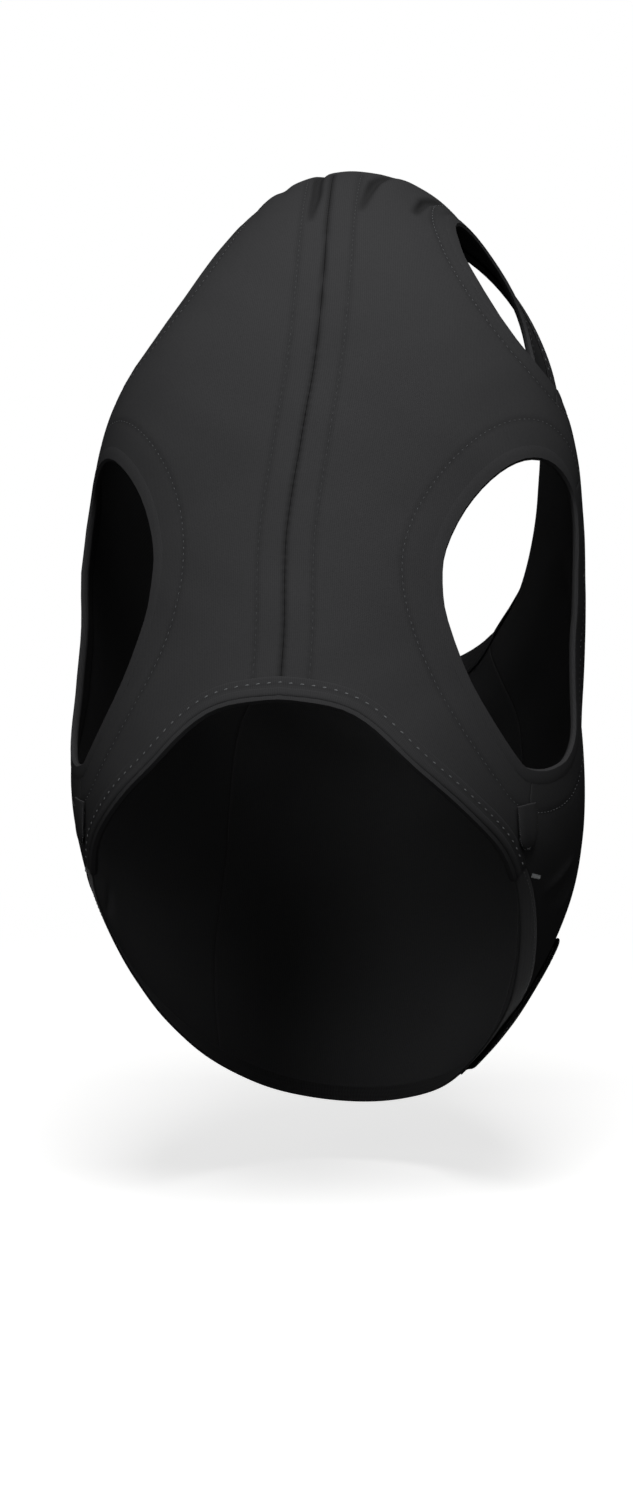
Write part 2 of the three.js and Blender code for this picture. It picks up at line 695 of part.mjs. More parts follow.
// The tabs, their pads, and the stitching that ends the slit below each of them.
const sewnRows = 2;
const tabHeight = (i) => (i < sewnRows ? loopBottom : flapBottom);
for (const { side, turn } of sides) {
  const mirrored = (at) => (back, up) => {
    const place = at(back, up);
    return spot(place.x * turn, place.y);
  };
  const atTip = mirrored(laid(tabTipShares, tabTilt));
  const tab = tabOutlineShares.map(([share, width]) =>
    stepped(cells.tab, (s) =>
      atTip(tabLength * (share - 1), (tabWidth / 2) * width * (2 * s - 1)),
    ),
  );
  add(`cheek_tab_${side}`, "knit", layer(tab, tabHeight, (i) => tabHeight(i) + clothThickness));
  const padEnd = -tabInset * 2;
  const padStart = padEnd - tabPadLength;
  const padHalf = tabWidth / 2 - tabInset;
  const pad = rectangle(atTip, padStart, padEnd, padHalf, cells.pad, cells.pad);
  add(`tab_hook_${side}`, "hook", layer(pad, hookBottom, hookTop));
  add(`tab_loop_${side}`, "loop", layer(pad, loopBottom, loopTop));
  const atTack = mirrored(laid(bartackShares, 0));
  const tack = rectangle(atTack, -bartackLength / 2, bartackLength / 2, bartackWidth / 2, 2, 1);
  add(`bartack_${side}`, "thread", layer(tack, loopBottom, loopBottom + bartackThickness));
}

// Places walked off one after another, each a step further in a direction of the form.
function trail(start, way, distances) {
  const places = [];
  let [place, gone] = [start, 0];
  for (const distance of distances) {
    place = moved(place, slopes(place)[way], distance - gone);
    gone = distance;
    places.push(place);
  }
  return places;
}

// The jaw flaps and their tapes.
const slitFoot = onLowerEdge(jawLineShare);
const flapFoot = moved(slitFoot, slopes(slitFoot).round, flapSetback + flapRootWidth);
const flapHeight = (_, j) => (j < sewnRows ? loopBottom : flapBottom);
for (const [k, name] of ["lower", "middle", "upper"].entries()) {
  const start = flapEdgeGap + k * (flapLength + flapSpacing);
  const rises = stepped(flapOutlineShares.length - 1, (t) => start + flapLength * t);
  const flap = trail(flapFoot, "along", rises).map((place, i) =>
    trail(
      place,
      "round",
      flapAcrossShares.map((share) => -flapWidth * flapOutlineShares[i] * share),
    ),
  );
  add(`jaw_flap_${name}`, "knit", layer(flap, flapHeight, (...at) => flapHeight(...at) + clothThickness));
  const taped = flap.slice(...flapTapeCells.rows).map((row) => row.slice(...flapTapeCells.columns));
  add(`flap_hook_${name}`, "hook", layer(taped, hookBottom, hookTop));
  add(`flap_loop_${name}`, "loop", layer(taped, loopBottom, loopTop));
}

export default mask;
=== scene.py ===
# A stretch fly mask for a horse, in the shape it has on the head. Metres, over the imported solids.
import json
import math

import bpy
import numpy as np
from mathutils import Matrix, Vector
from mathutils.kdtree import KDTree


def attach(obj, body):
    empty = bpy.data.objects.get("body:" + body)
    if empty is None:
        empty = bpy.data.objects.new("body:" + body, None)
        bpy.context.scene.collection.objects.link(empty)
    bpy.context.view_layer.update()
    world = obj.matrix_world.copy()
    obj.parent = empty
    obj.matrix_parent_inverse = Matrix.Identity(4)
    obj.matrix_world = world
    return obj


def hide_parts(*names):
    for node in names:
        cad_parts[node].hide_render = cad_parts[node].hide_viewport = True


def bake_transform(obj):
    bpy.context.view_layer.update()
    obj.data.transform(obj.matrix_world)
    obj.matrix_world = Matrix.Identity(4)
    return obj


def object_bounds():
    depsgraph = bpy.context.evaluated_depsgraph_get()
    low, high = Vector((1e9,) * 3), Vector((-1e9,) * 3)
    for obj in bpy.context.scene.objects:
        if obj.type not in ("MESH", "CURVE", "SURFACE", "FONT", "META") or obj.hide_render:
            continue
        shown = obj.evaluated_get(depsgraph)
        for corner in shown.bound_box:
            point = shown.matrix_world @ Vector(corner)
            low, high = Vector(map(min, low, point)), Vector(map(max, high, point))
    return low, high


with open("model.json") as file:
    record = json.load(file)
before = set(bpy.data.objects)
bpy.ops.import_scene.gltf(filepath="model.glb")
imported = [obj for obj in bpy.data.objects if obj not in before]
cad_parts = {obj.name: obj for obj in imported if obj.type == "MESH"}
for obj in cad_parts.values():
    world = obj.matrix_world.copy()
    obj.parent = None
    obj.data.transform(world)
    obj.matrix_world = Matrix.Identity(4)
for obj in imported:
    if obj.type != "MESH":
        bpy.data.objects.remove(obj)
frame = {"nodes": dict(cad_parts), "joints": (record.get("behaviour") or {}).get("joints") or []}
cadBox = [list(corner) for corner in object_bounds()]
mm = 0.001
sides = ("left", "right")
print("stage: solids loaded,", len(frame["nodes"]))

# The head that the cloth is stretched over. Each hoop runs round it, from the lower edge to the
# neck: where it crosses the face and the jaw (y, z), half its width, how far round it is widest,
# how flat the brow is and how full the cheek.
headForm = {
    "faceLength": 350,
    "headDepth": 290,
    "headWidth": 230,
    "pitch": 32,
    "sideShare": 0.57,
    "pollShare": 0.81,
    "hoops": [
        [0.02, -1.0, 0.9, -1.1, 0.338, 0.36, 0.52, 0.46],
        [0.01, -0.86, 0.97, -0.98, 0.44, 0.4, 0.5, 0.66],
        [0.0, -0.72, 1.0, -0.85, 0.494, 0.46, 0.5, 0.68],
        [-0.01, -0.57, 1.01, -0.72, 0.484, 0.38, 0.55, 0.64],
        [-0.02, -0.43, 1.01, -0.61, 0.485, 0.31, 0.6, 0.62],
        [-0.01, -0.29, 1.0, -0.54, 0.466, 0.29, 0.62, 0.62],
        [0.04, -0.14, 0.98, -0.49, 0.399, 0.34, 0.64, 0.6],
        [0.13, -0.03, 0.97, -0.45, 0.355, 0.4, 0.64, 0.6],
        [0.26, 0.03, 0.95, -0.42, 0.35, 0.46, 0.62, 0.6],
        [0.41, 0.05, 0.94, -0.4, 0.375, 0.5, 0.6, 0.6],
    ],
    # how far along the lower edge lies, at even steps round from the face to the jaw
    "lowerEdge": [0.134, 0.127, 0.094, 0.079, 0.074, 0.062, 0.053, 0.05, 0.055, 0.062, 0.066],
    "bandTop": 0.087,
    "faceCorner": 0.443,
    "jawLine": 0.79,
    "crownSeam": 0.785,
    "neckCorner": (0.42, 1.0),
    # each opening: its centre, how far it reaches up, down, forward and back, its tilt and taper
    "eye": {
        "centre": (0.38, 0.283), "up": 100.1, "down": 66.85, "front": 77, "rear": 28,
        "tilt": -13, "taper": 0.02,
    },
    "ear": {
        "centre": (0.345, 0.725), "up": 57.05, "down": 58.8, "front": 49, "rear": 38,
        "tilt": 9, "taper": 0,
    },
}


def through(rows, share):  # a smooth line through evenly spaced rows, straight on past its ends
    rows = np.asarray(rows, float)
    last = len(rows) - 1
    place = np.clip(share, 0, 1) * last
    k = np.minimum(place.astype(int), last - 1)
    t = (place - k)[..., None]
    padded = np.vstack([2 * rows[0] - rows[1], rows, 2 * rows[-1] - rows[-2]])
    a, b, c, d = (padded[k + i] for i in range(4))
    inside = b + (c - a) * t / 2 + (2 * a - 5 * b + 4 * c - d) * t**2 / 2
    inside = inside + (3 * b - a - 3 * c + d) * t**3 / 2
    past = (np.maximum(share - 1, 0) * last)[..., None] * (rows[-1] - rows[-2])
    before = (np.minimum(share, 0) * last)[..., None] * (rows[1] - rows[0])
    return inside + past + before


def bezier(a, b, c, d, t):
    s = 1 - t
    return s**3 * a + 3 * s * s * t * b + 3 * s * t * t * c + t**3 * d


def formPoint(around, along):  # in millimetres, before the head is pitched
    around, along = np.broadcast_arrays(np.asarray(around, float), np.asarray(along, float))
    turn = np.where(around > 1, around - 2, np.where(around < -1, around + 2, around))
    hoop = np.moveaxis(through(headForm["hoops"], along), -1, 0)
    depth, length = headForm["headDepth"], headForm["faceLength"]
    faceY, faceZ, jawY, jawZ = hoop[0] * depth, hoop[1] * length, hoop[2] * depth, hoop[3] * length
    half, widest, flat, full = hoop[4] * headForm["headWidth"], hoop[5], hoop[6], hoop[7]
    side = headForm["sideShare"]
    share = np.abs(turn) * 2
    front, back = np.minimum(share, 1), np.maximum(share - 1, 0)
    brow = bezier(0, flat * half, half, half, front)
    x = np.where(share <= 1, brow, bezier(half, half, side * half, 0, back))
    rear = bezier(widest, widest + (1 - widest) * full, 1, 1, back)
    deep = np.where(share <= 1, bezier(0, 0, widest * (1 - side), widest, front), rear)
    return np.stack([x * np.sign(turn), faceY + (jawY - faceY) * deep, faceZ + (jawZ - faceZ) * deep], -1)


pitchTurn = np.array(Matrix.Rotation(-math.radians(headForm["pitch"]), 3, "X"))
seat = pitchTurn @ formPoint(0, headForm["pollShare"])
step = 1e-4


def slopes(around, along):  # the directions of the form and the way out of it
    a = (formPoint(around + step, along) - formPoint(around - step, along)) / (2 * step)
    b = (formPoint(around, along + step) - formPoint(around, along - step)) / (2 * step)
    out = np.cross(a, b)
    out /= np.linalg.norm(out, axis=-1, keepdims=True)
    return a, b, out


def onHead(around, along, lift=0.0):  # points in metres, in the frame of the mask
    around, along = np.asarray(around, float), np.asarray(along, float)
    out = slopes(around, along)[2]
    point = formPoint(around, along) + out * np.asarray(lift)[..., None]
    return (point @ pitchTurn.T - seat) * mm


def treeOf(points):
    tree = KDTree(len(points))
    for index, point in enumerate(points):
        tree.insert(point, index)
    tree.balance()
    return tree


# A point's place on the form is looked up on a grid that runs a little past the form, and closed in on.
lookup = {"steps": 361, "past": 0.07, "rounds": 4}
gridRound, gridAlong = np.meshgrid(
    np.linspace(-1, 1, lookup["steps"]),
    np.linspace(-lookup["past"], 1 + lookup["past"], lookup["steps"]),
)
gridTree = treeOf(onHead(gridRound, gridAlong).reshape(-1, 3))


def placesOf(points):  # round, along and lift of points near the form
    nearest = np.array([gridTree.find(point)[1] for point in points])
    around, along = gridRound.ravel()[nearest], gridAlong.ravel()[nearest]
    local = (np.asarray(points) / mm + seat) @ pitchTurn
    for _ in range(lookup["rounds"]):
        a, b, _ = slopes(around, along)
        off = local - formPoint(around, along)
        aa, ab, bb = (a * a).sum(-1), (a * b).sum(-1), (b * b).sum(-1)
        oa, ob = (off * a).sum(-1), (off * b).sum(-1)
        flat = aa * bb - ab * ab
        around = around + (oa * bb - ob * ab) / flat
        along = along + (ob * aa - oa * ab) / flat
    out = slopes(around, along)[2]
    return around, along, ((local - formPoint(around, along)) * out).sum(-1)


# How the cloth lies: low swells, the slip of the seams off the middle, and creases along lines on
# the form, given as places round and along.
lie = {
    "swell": 0.22,  # height of the low swells in millimetres
    "swellLength": 46,  # and how far apart they are
    # how the swells across and up wander, so that they don't repeat
    "swellAcross": {"bend": 1.3, "bendRate": 0.61, "start": 0.7},
    "swellUp": {"rate": 0.83, "bend": 1.1, "bendRate": 0.57, "start": 2.1},
    # how far round the cloth has slipped at the middle, at even steps along from the lower edge
    "slip": [0, 0, -0.001, -0.008, 0, 0.007, 0.004, -0.007, -0.018, -0.02, -0.015],
    "slipReach": 0.2,
    "creases": [
        {
            "line": [(-0.036, 0.84), (-0.04, 0.79), (-0.031, 0.73), (-0.028, 0.67)],
            "height": -2.4,
            "width": 2.2,
        },
        {"line": [(0.005, 0.83), (0.003, 0.78), (0.004, 0.72)], "height": 1.0, "width": 8.0},
        {"line": [(0.064, 0.83), (0.046, 0.77), (0.036, 0.69)], "height": -2.4, "width": 2.2},
        {"line": [(0.09, 0.82), (0.082, 0.78), (0.07, 0.73)], "height": 0.8, "width": 5.0},
        {"line": [(0.16, 0.81), (0.13, 0.76), (0.116, 0.71)], "height": -2.0, "width": 2.2},
        {"line": [(-0.11, 0.83), (-0.1, 0.79), (-0.09, 0.75)], "height": -0.9, "width": 3.0},
        {"line": [(0.527, 0.175), (0.522, 0.135), (0.515, 0.1)], "height": 1.3, "width": 2.4},
        {"line": [(0.545, 0.175), (0.542, 0.135), (0.537, 0.11)], "height": -1.2, "width": 2.6},
        {"line": [(0.568, 0.195), (0.565, 0.155), (0.558, 0.125)], "height": 1.3, "width": 2.4},
        {"line": [(-0.526, 0.18), (-0.53, 0.14), (-0.52, 0.1)], "height": 1.1, "width": 2.6},
        {"line": [(-0.6, 0.2), (-0.59, 0.16), (-0.57, 0.12)], "height": 1.1, "width": 2.6},
        {"line": [(0.5, 0.8), (0.52, 0.7), (0.51, 0.6)], "height": 1.0, "width": 5.0},
        {"line": [(-0.5, 0.8), (-0.52, 0.7), (-0.51, 0.6)], "height": 1.0, "width": 5.0},
        {"line": [(0.6, 0.62), (0.64, 0.52), (0.63, 0.42)], "height": -1.0, "width": 5.0},
        {"line": [(-0.6, 0.62), (-0.64, 0.52), (-0.63, 0.42)], "height": -1.0, "width": 5.0},
    ],
    # where it lies a little fuller or hollower over a wider patch
    "patches": [
        {"line": [(-0.16, 0.8), (0.02, 0.83), (0.18, 0.8)], "height": 4.0, "width": 30.0},
        {"line": [(-0.2, 0.82), (-0.31, 0.61), (-0.46, 0.4)], "height": -5.0, "width": 36.0},
        {
            "line": [(0.5, 0.38), (0.56, 0.24), (0.66, 0.15), (0.76, 0.05), (0.85, -0.05)],
            "height": -3.0,
            "width": 28.0,
        },
    ],
    "creaseEnds": 0.7,  # how bluntly a crease runs out
    "creaseShadeFrom": -1.5,  # creases deeper than this are painted with shade
    "creaseShadeDepth": 1.1,  # the depth in millimetres at which the painted shade in a crease is at its darkest
    "creaseShadeShare": 0.7,  # and how dark that painted shade is, against the darkness on a seam
    "seamSink": 0.4,  # how far the cloth dips along the middle seam
    "rowShare": 0.4,  # and the share of that along a row of stitches
    "seamWidth": 1.5,
}


def smoothTable(values, share):
    return through(np.array(values, float)[:, None], share)[..., 0]


def slipped(around, along):
    near = np.exp(-((around / lie["slipReach"]) ** 2))
    return around + near * smoothTable(lie["slip"], np.clip(along, 0, 1))


def drape(around, along):  # how far the cloth stands off the form, in millimetres
    points = formPoint(around, along)
    place = points * (2 * math.pi / lie["swellLength"])
    wide, high = lie["swellAcross"], lie["swellUp"]
    swell = np.sin(place[..., 0] + wide["bend"] * np.sin(place[..., 2] * wide["bendRate"] + wide["start"]))
    bend = high["bend"] * np.sin(place[..., 1] * high["bendRate"] + high["start"])
    swell = swell * np.sin(place[..., 2] * high["rate"] + bend)
    height = lie["swell"] * swell
    for crease in lie["creases"] + lie["patches"]:
        height = height + creaseHeight(points, crease)
    return height


def creaseHeight(points, crease):
    line = formPoint(*np.array(crease["line"], float).T)
    start, run = line[:-1], np.diff(line, axis=0)
    reach = np.clip(((points[..., None, :] - start) * run).sum(-1) / (run * run).sum(-1), 0, 1)
    away = np.linalg.norm(points[..., None, :] - start - run * reach[..., None], axis=-1)
    nearest = away.argmin(-1)
    stop = (nearest + np.take_along_axis(reach, nearest[..., None], -1)[..., 0]) / len(run)
    ends = np.sin(math.pi * np.clip(stop, 0, 1)) ** lie["creaseEnds"]
    return crease["height"] * ends * np.exp(-((away.min(-1) / crease["width"]) ** 2))


def onCloth(around, along, lift, sink=0.0):  # a point of the worn cloth, in metres
    around = slipped(np.asarray(around, float), np.asarray(along, float))
    return onHead(around, along, np.asarray(lift) + drape(around, along) - sink)


# Paths on the form are rows of places, each how far round and how far along.
stepLimit = {"moved": 3, "walked": 6}  # the longest step taken on the form, in millimetres


def moved(places, direction, distance):  # places a distance along the cloth in a direction
    places = np.array(places, float)
    strides = max(1, math.ceil(abs(distance) / stepLimit["moved"]))
    for _ in range(strides):
        a, b, _ = slopes(places[:, 0], places[:, 1])
        aa, ab, bb = (a * a).sum(-1), (a * b).sum(-1), (b * b).sum(-1)
        da, db = (direction * a).sum(-1), (direction * b).sum(-1)
        across, up = da * bb - db * ab, db * aa - da * ab
        length = np.linalg.norm(a * across[:, None] + b * up[:, None], axis=-1)
        places[:, 0] += across / length * distance / strides
        places[:, 1] += up / length * distance / strides
    return places


def beside(path, distance, closed=False):  # the path to the right, seen from outside the head
    path = np.asarray(path, float)
    if closed:
        before, after = np.roll(path, 1, axis=0), np.roll(path, -1, axis=0)
    else:
        before, after = np.vstack([path[:1], path[:-1]]), np.vstack([path[1:], path[-1:]])
    a, b, out = slopes(path[:, 0], path[:, 1])
    way = a * (after - before)[:, :1] + b * (after - before)[:, 1:]
    way /= np.linalg.norm(way, axis=-1, keepdims=True)
    return moved(path, np.cross(way, out), distance)


def straight(start, end, count=60):
    return np.linspace(start, end, count + 1)


def lengths(points):
    return np.concatenate([[0], np.cumsum(np.linalg.norm(np.diff(points, axis=0), axis=1))])


def laid(centre, tilt, back, up):  # a small flat drawing laid on the head
    a, b, _ = slopes(*centre)
    turn = math.radians(tilt)
    back, up = np.asarray(back, float), np.asarray(up, float)
    around = centre[0] + (back * math.cos(turn) - up * math.sin(turn)) / np.linalg.norm(a)
    along = centre[1] + (back * math.sin(turn) + up * math.cos(turn)) / np.linalg.norm(b)
    return np.stack([around, along], -1)


openingStep = 2  # degrees between the points round an opening


def openingPath(name, inset):  # once round an opening, forward over the top, drawn out into the cloth
    shape = headForm[name]
    turn = np.radians(np.arange(0, -360, -openingStep))
    c, s = np.cos(turn), np.sin(turn)
    back = np.where(c < 0, shape["front"], shape["rear"]) * c * (1 + shape["taper"] * s)
    up = np.where(s > 0, shape["up"], shape["down"]) * s
    edge = laid(shape["centre"], shape["tilt"], back, up)
    ring = beside(edge, -inset, True) if inset else edge
    return np.vstack([ring, ring[:1]])


def lowerPath(start, end, count=120):
    around = np.linspace(start, end, count + 1)
    turn = np.abs(around)
    turn = np.where(turn > 1, 2 - turn, turn)
    return np.stack([around, smoothTable(headForm["lowerEdge"], turn)], -1)


def mirrored(path):
    return np.asarray(path) * (-1, 1)


corner, jawLine, bandTop = headForm["faceCorner"], headForm["jawLine"], headForm["bandTop"]
nosePath = lowerPath(-corner, corner, 160)
neckCorner = headForm["neckCorner"]
neckHalf = np.vstack([straight((0, 1), neckCorner), straight(neckCorner, (jawLine, 1))[1:]])
neckPath = np.vstack([mirrored(neckHalf)[::-1], neckHalf[1:]])
throatPath = straight((jawLine, 1), (2 - jawLine, 1))
centrePath = straight((0, headForm["lowerEdge"][0]), (0, headForm["crownSeam"]), 120)
bandPaths = {"cheek_band_left": (corner, jawLine), "jaw_band": (jawLine, 2 - corner)}

# Seams and rows of stitches, which the cloth dips along. Rows are given from the edge inwards.
rowsOf = {"eyeFacing": 16.4, "earFacing": 10.6, "centre": 12.0, "binding": 6.6}
dips = [centrePath, beside(centrePath, rowsOf["centre"]), beside(centrePath, -rowsOf["centre"])]
for ring in (openingPath("eye", rowsOf["eyeFacing"]), openingPath("ear", rowsOf["earFacing"])):
    dips += [ring, mirrored(ring)]
dipPoints = np.vstack([formPoint(path[:, 0], path[:, 1]) for path in dips])
dipTree = treeOf(dipPoints)


def dipShare(around, along):  # one on the seam, less on a row of stitches, and falling off beside it
    found = [dipTree.find(point) for point in formPoint(around, along)]
    index = np.array([nearest[1] for nearest in found])
    away = np.array([nearest[2] for nearest in found])
    share = np.where(index < len(centrePath), 1.0, lie["rowShare"])
    return share * np.exp(-((away / lie["seamWidth"]) ** 2))


def coordinates(mesh):
    points = np.zeros(len(mesh.vertices) * 3, np.float32)
    mesh.vertices.foreach_get("co", points)
    return points.reshape(-1, 3).astype(float)


def setCoordinates(mesh, points):
    mesh.vertices.foreach_set("co", np.asarray(points, np.float32).ravel())
    mesh.update()


def only(piece):  # the piece alone is selected and active
    bpy.ops.object.select_all(action="DESELECT")
    bpy.context.view_layer.objects.active = piece
    piece.select_set(True)


def applied(piece, kind, **settings):
    only(piece)
    modifier = piece.modifiers.new(kind.title(), kind)
    for name, value in settings.items():
        setattr(modifier, name, value)
    bpy.ops.object.modifier_apply(modifier=modifier.name)


making = {
    "merge": 1e-6,  # points of a solid closer than this are one
    "liftShare": 0.01,  # how much its height counts when the outermost face is picked
    "outerAngle": 48,  # the outer face ends at a sharper edge than this, in degrees
    "fitRounds": 5,  # rounds in which a finer surface is brought back to its points
    "smoothAngle": 50,
}


def copyOf(node, name):  # a merged copy of a solid, in four-sided faces
    piece = bpy.data.objects.new(name, frame["nodes"][node].data.copy())
    bpy.context.scene.collection.objects.link(piece)
    only(piece)
    bpy.ops.object.mode_set(mode="EDIT")
    bpy.ops.mesh.select_all(action="SELECT")
    bpy.ops.mesh.remove_doubles(threshold=making["merge"])
    bpy.ops.mesh.tris_convert_to_quads(face_threshold=math.pi, shape_threshold=math.pi)
    bpy.ops.mesh.customdata_custom_splitnormals_clear()
    bpy.ops.object.mode_set(mode="OBJECT")
    piece.data.materials.clear()
    return piece


def keepOuterFace(piece):  # the side away from the head, without the rim
    mesh = piece.data
    centres = np.array([face.center[:] for face in mesh.polygons])
    around, along, lift = placesOf(centres)
    out = slopes(around, along)[2] @ pitchTurn.T
    facing = (np.array([face.normal[:] for face in mesh.polygons]) * out).sum(-1)
    seed = int(np.argmax(facing + lift * making["liftShare"]))
    bpy.ops.object.mode_set(mode="EDIT")
    bpy.ops.mesh.select_mode(type="FACE")
    bpy.ops.mesh.select_all(action="DESELECT")
    bpy.ops.object.mode_set(mode="OBJECT")
    mesh.polygons[seed].select = True
    bpy.ops.object.mode_set(mode="EDIT")
    bpy.ops.mesh.faces_select_linked_flat(sharpness=math.radians(making["outerAngle"]))
    bpy.ops.mesh.select_all(action="INVERT")
    bpy.ops.mesh.delete(type="FACE")
    bpy.ops.object.mode_set(mode="OBJECT")


def smoothed(piece, levels):  # finer, by a smooth surface that still passes through its points
    target = coordinates(piece.data)
    modifier = piece.modifiers.new("Smooth", "SUBSURF")
    modifier.levels = modifier.render_levels = 1
    modifier.boundary_smooth = "PRESERVE_CORNERS"
    control = target.copy()
    for _ in range(making["fitRounds"]):
        shape = piece.evaluated_get(bpy.context.evaluated_depsgraph_get())
        control += target - coordinates(shape.data)[: len(target)]
        setCoordinates(piece.data, control)
    modifier.levels = modifier.render_levels = levels
    only(piece)
    bpy.ops.object.modifier_apply(modifier=modifier.name)


# The layers as they are sewn: heights over the form in the solids, and pressed together here.
layers = {
    "solid": [-5.0, -3.0, -2.2, -1.6, -0.6, 0.0, 1.4, 2.0, 2.9, 3.2, 4.1, 4.4, 5.8, 8.0],
    "sewn": [-3.05, -1.05, -0.45, -0.4, 0.32, 0.35, 1.4, 1.44, 2.1, 2.12, 2.75, 2.8, 3.9, 6.1],
    "flush": 0.3,  # how much of its own height an eye or ear fold keeps over the cloth
    "foldFrom": 1.43,  # the height at which that starts
    "foldOut": 1.46,  # and the height that it is counted from
}


def sewnHeight(height, flushFold=False):
    height = np.interp(height, layers["solid"], layers["sewn"])
    if flushFold:
        pressed = layers["foldFrom"] + (height - layers["foldOut"]) * layers["flush"]
        height = np.where(height > layers["foldFrom"], pressed, height)
    return height


# Lays a piece on the worn form. Its threads are mapped first, so that they go with the cloth.
def settle(piece, lift=None, dips=False, flushFold=False, band=None, droop=None):
    if band is None:
        mapThreads(piece)
    else:
        mapBand(piece, band)
    around, along, height = placesOf(coordinates(piece.data))
    if lift is not None:
        height = np.full_like(height, lift)
    height = sewnHeight(height, flushFold)
    if droop is not None:
        height = height - droop(around, along)
    share = np.zeros_like(height)
    if dips:
        share = dipShare(around, along)
        points = formPoint(slipped(around, along), along)
        # deep creases get painted shade, kept with the darkening along the seams in the 'sewn' attribute
        shadedCreases = [crease for crease in lie["creases"] if crease["height"] < lie["creaseShadeFrom"]]
        depth = -sum(creaseHeight(points, crease) for crease in shadedCreases)
        crease = np.clip(depth / lie["creaseShadeDepth"], 0, 1) * lie["creaseShadeShare"]
        seamDarkAndCreaseShade = piece.data.attributes.new("sewn", "FLOAT", "POINT")
        seamDarkAndCreaseShade.data.foreach_set("value", np.maximum(share, crease).astype(np.float32))
    setCoordinates(piece.data, onCloth(around, along, height, share * lie["seamSink"]))


threadMap = {
    "round": 0.36,  # half the way round the head at the cheeks, in metres
    "long": 0.44,  # and the way along it
    "underFrom": 0.9,  # a piece that reaches further round than this is mapped from under the jaw
    "bandStep": 0.5,  # between the points along a band, in millimetres
}


def mapThreads(piece):  # a map in metres: across is round the head, up is along it
    mesh = piece.data
    around, along, _ = placesOf(coordinates(mesh))
    if np.abs(around).max() > threadMap["underFrom"]:
        around = np.where(around < 0, around + 2, around)
    writeThreads(mesh, around * threadMap["round"], along * threadMap["long"])


def mapBand(piece, path):  # the same for a band: across is along its path, up is away from it
    edge = onHead(path[:, 0], path[:, 1])
    gone = lengths(edge)
    fine = np.linspace(0, gone[-1], int(gone[-1] / (threadMap["bandStep"] * mm)))
    tree = treeOf(np.stack([np.interp(fine, gone, edge[:, axis]) for axis in range(3)], -1))
    found = [tree.find(point) for point in coordinates(piece.data)]
    writeThreads(piece.data, fine[[hit[1] for hit in found]], np.array([hit[2] for hit in found]))


def writeThreads(mesh, across, up):
    layer = mesh.uv_layers.new(name="threads")
    loops = np.zeros(len(mesh.loops), np.int32)
    mesh.loops.foreach_get("vertex_index", loops)
    layer.data.foreach_set("uv", np.stack([across, up], -1)[loops].astype(np.float32).ravel())


def linear(code):  # an sRGB hex colour as linear red, green, blue and alpha
    parts = [int(code[i : i + 2], 16) / 255 for i in (0, 2, 4)]
    return [v / 12.92 if v <= 0.04045 else ((v + 0.055) / 1.055) ** 2.4 for v in parts] + [1]


def addNode(tree, kind, settings=None, inputs=None):
    made = tree.nodes.new(kind)
    for name, value in (settings or {}).items():
        setattr(made, name, value)
    for name, value in (inputs or {}).items():
        socket = made.inputs[name]
        if isinstance(value, bpy.types.NodeSocket):
            tree.links.new(value, socket)
        else:
            socket.default_value = value
    return made


def newMaterial(name):
    material = bpy.data.materials.new(name)
    material.use_nodes = True
    material.node_tree.nodes.clear()
    return material, material.node_tree


def finishMaterial(tree, shader):
    output = addNode(tree, "ShaderNodeOutputMaterial")
    tree.links.new(shader.outputs[0], output.inputs["Surface"])


def maths(tree, kind, first, second):
    return addNode(tree, "ShaderNodeMath", {"operation": kind}, {0: first, 1: second}).outputs[0]


def colourMix(tree, factor, first, second):
    settings = {"data_type": "RGBA", "blend_type": "MIX"}
    return addNode(tree, "ShaderNodeMix", settings, {0: factor, 6: first, 7: second}).outputs[2]


# What all the cloths and trims share.
surface = {
    "waveLength": 0.314159,  # metres between the bands of a wave texture at scale 1
    "wander": 0.6,  # how unevenly the ribs run
    "waleShare": 0.65,  # how much of the relief is in the ribs across
    "courseShare": 0.35,  # and how much in the ribs along
    "cloudScale": 22.0,  # broad uneven tone
    "cloudShare": 0.35,
    "streakScale": (90.0, 900.0, 1.0),  # fine streaks along the threads
    "streakShare": 0.18,
    "pressed": "101010",  # the dark tone along a seam, and the painted shade in a deep crease
    "hairHeight": 0.12,
    "roughSpread": 0.15,  # how much the fuzz changes the roughness
    "roughDrop": 0.07,
    "sheenRoughness": 0.45,
    "sheenTint": "c8ccd0",
    "ior": 1.45,
}


def ribbing(tree, vector, way, period):  # soft ribs a period apart in metres
    settings = {"wave_type": "BANDS", "bands_direction": way, "wave_profile": "SIN"}
    inputs = {"Vector": vector, "Scale": surface["waveLength"] / period, "Distortion": surface["wander"]}
    inputs.update({"Detail": 1.0, "Detail Scale": 2.0})
    return addNode(tree, "ShaderNodeTexWave", settings, inputs).outputs["Fac"]


def noise(tree, vector, scale, **inputs):
    made = addNode(tree, "ShaderNodeTexNoise", {}, {"Vector": vector, "Scale": scale, **inputs})
    return made.outputs[0]


def bumped(tree, **inputs):
    return addNode(tree, "ShaderNodeBump", {}, inputs).outputs[0]


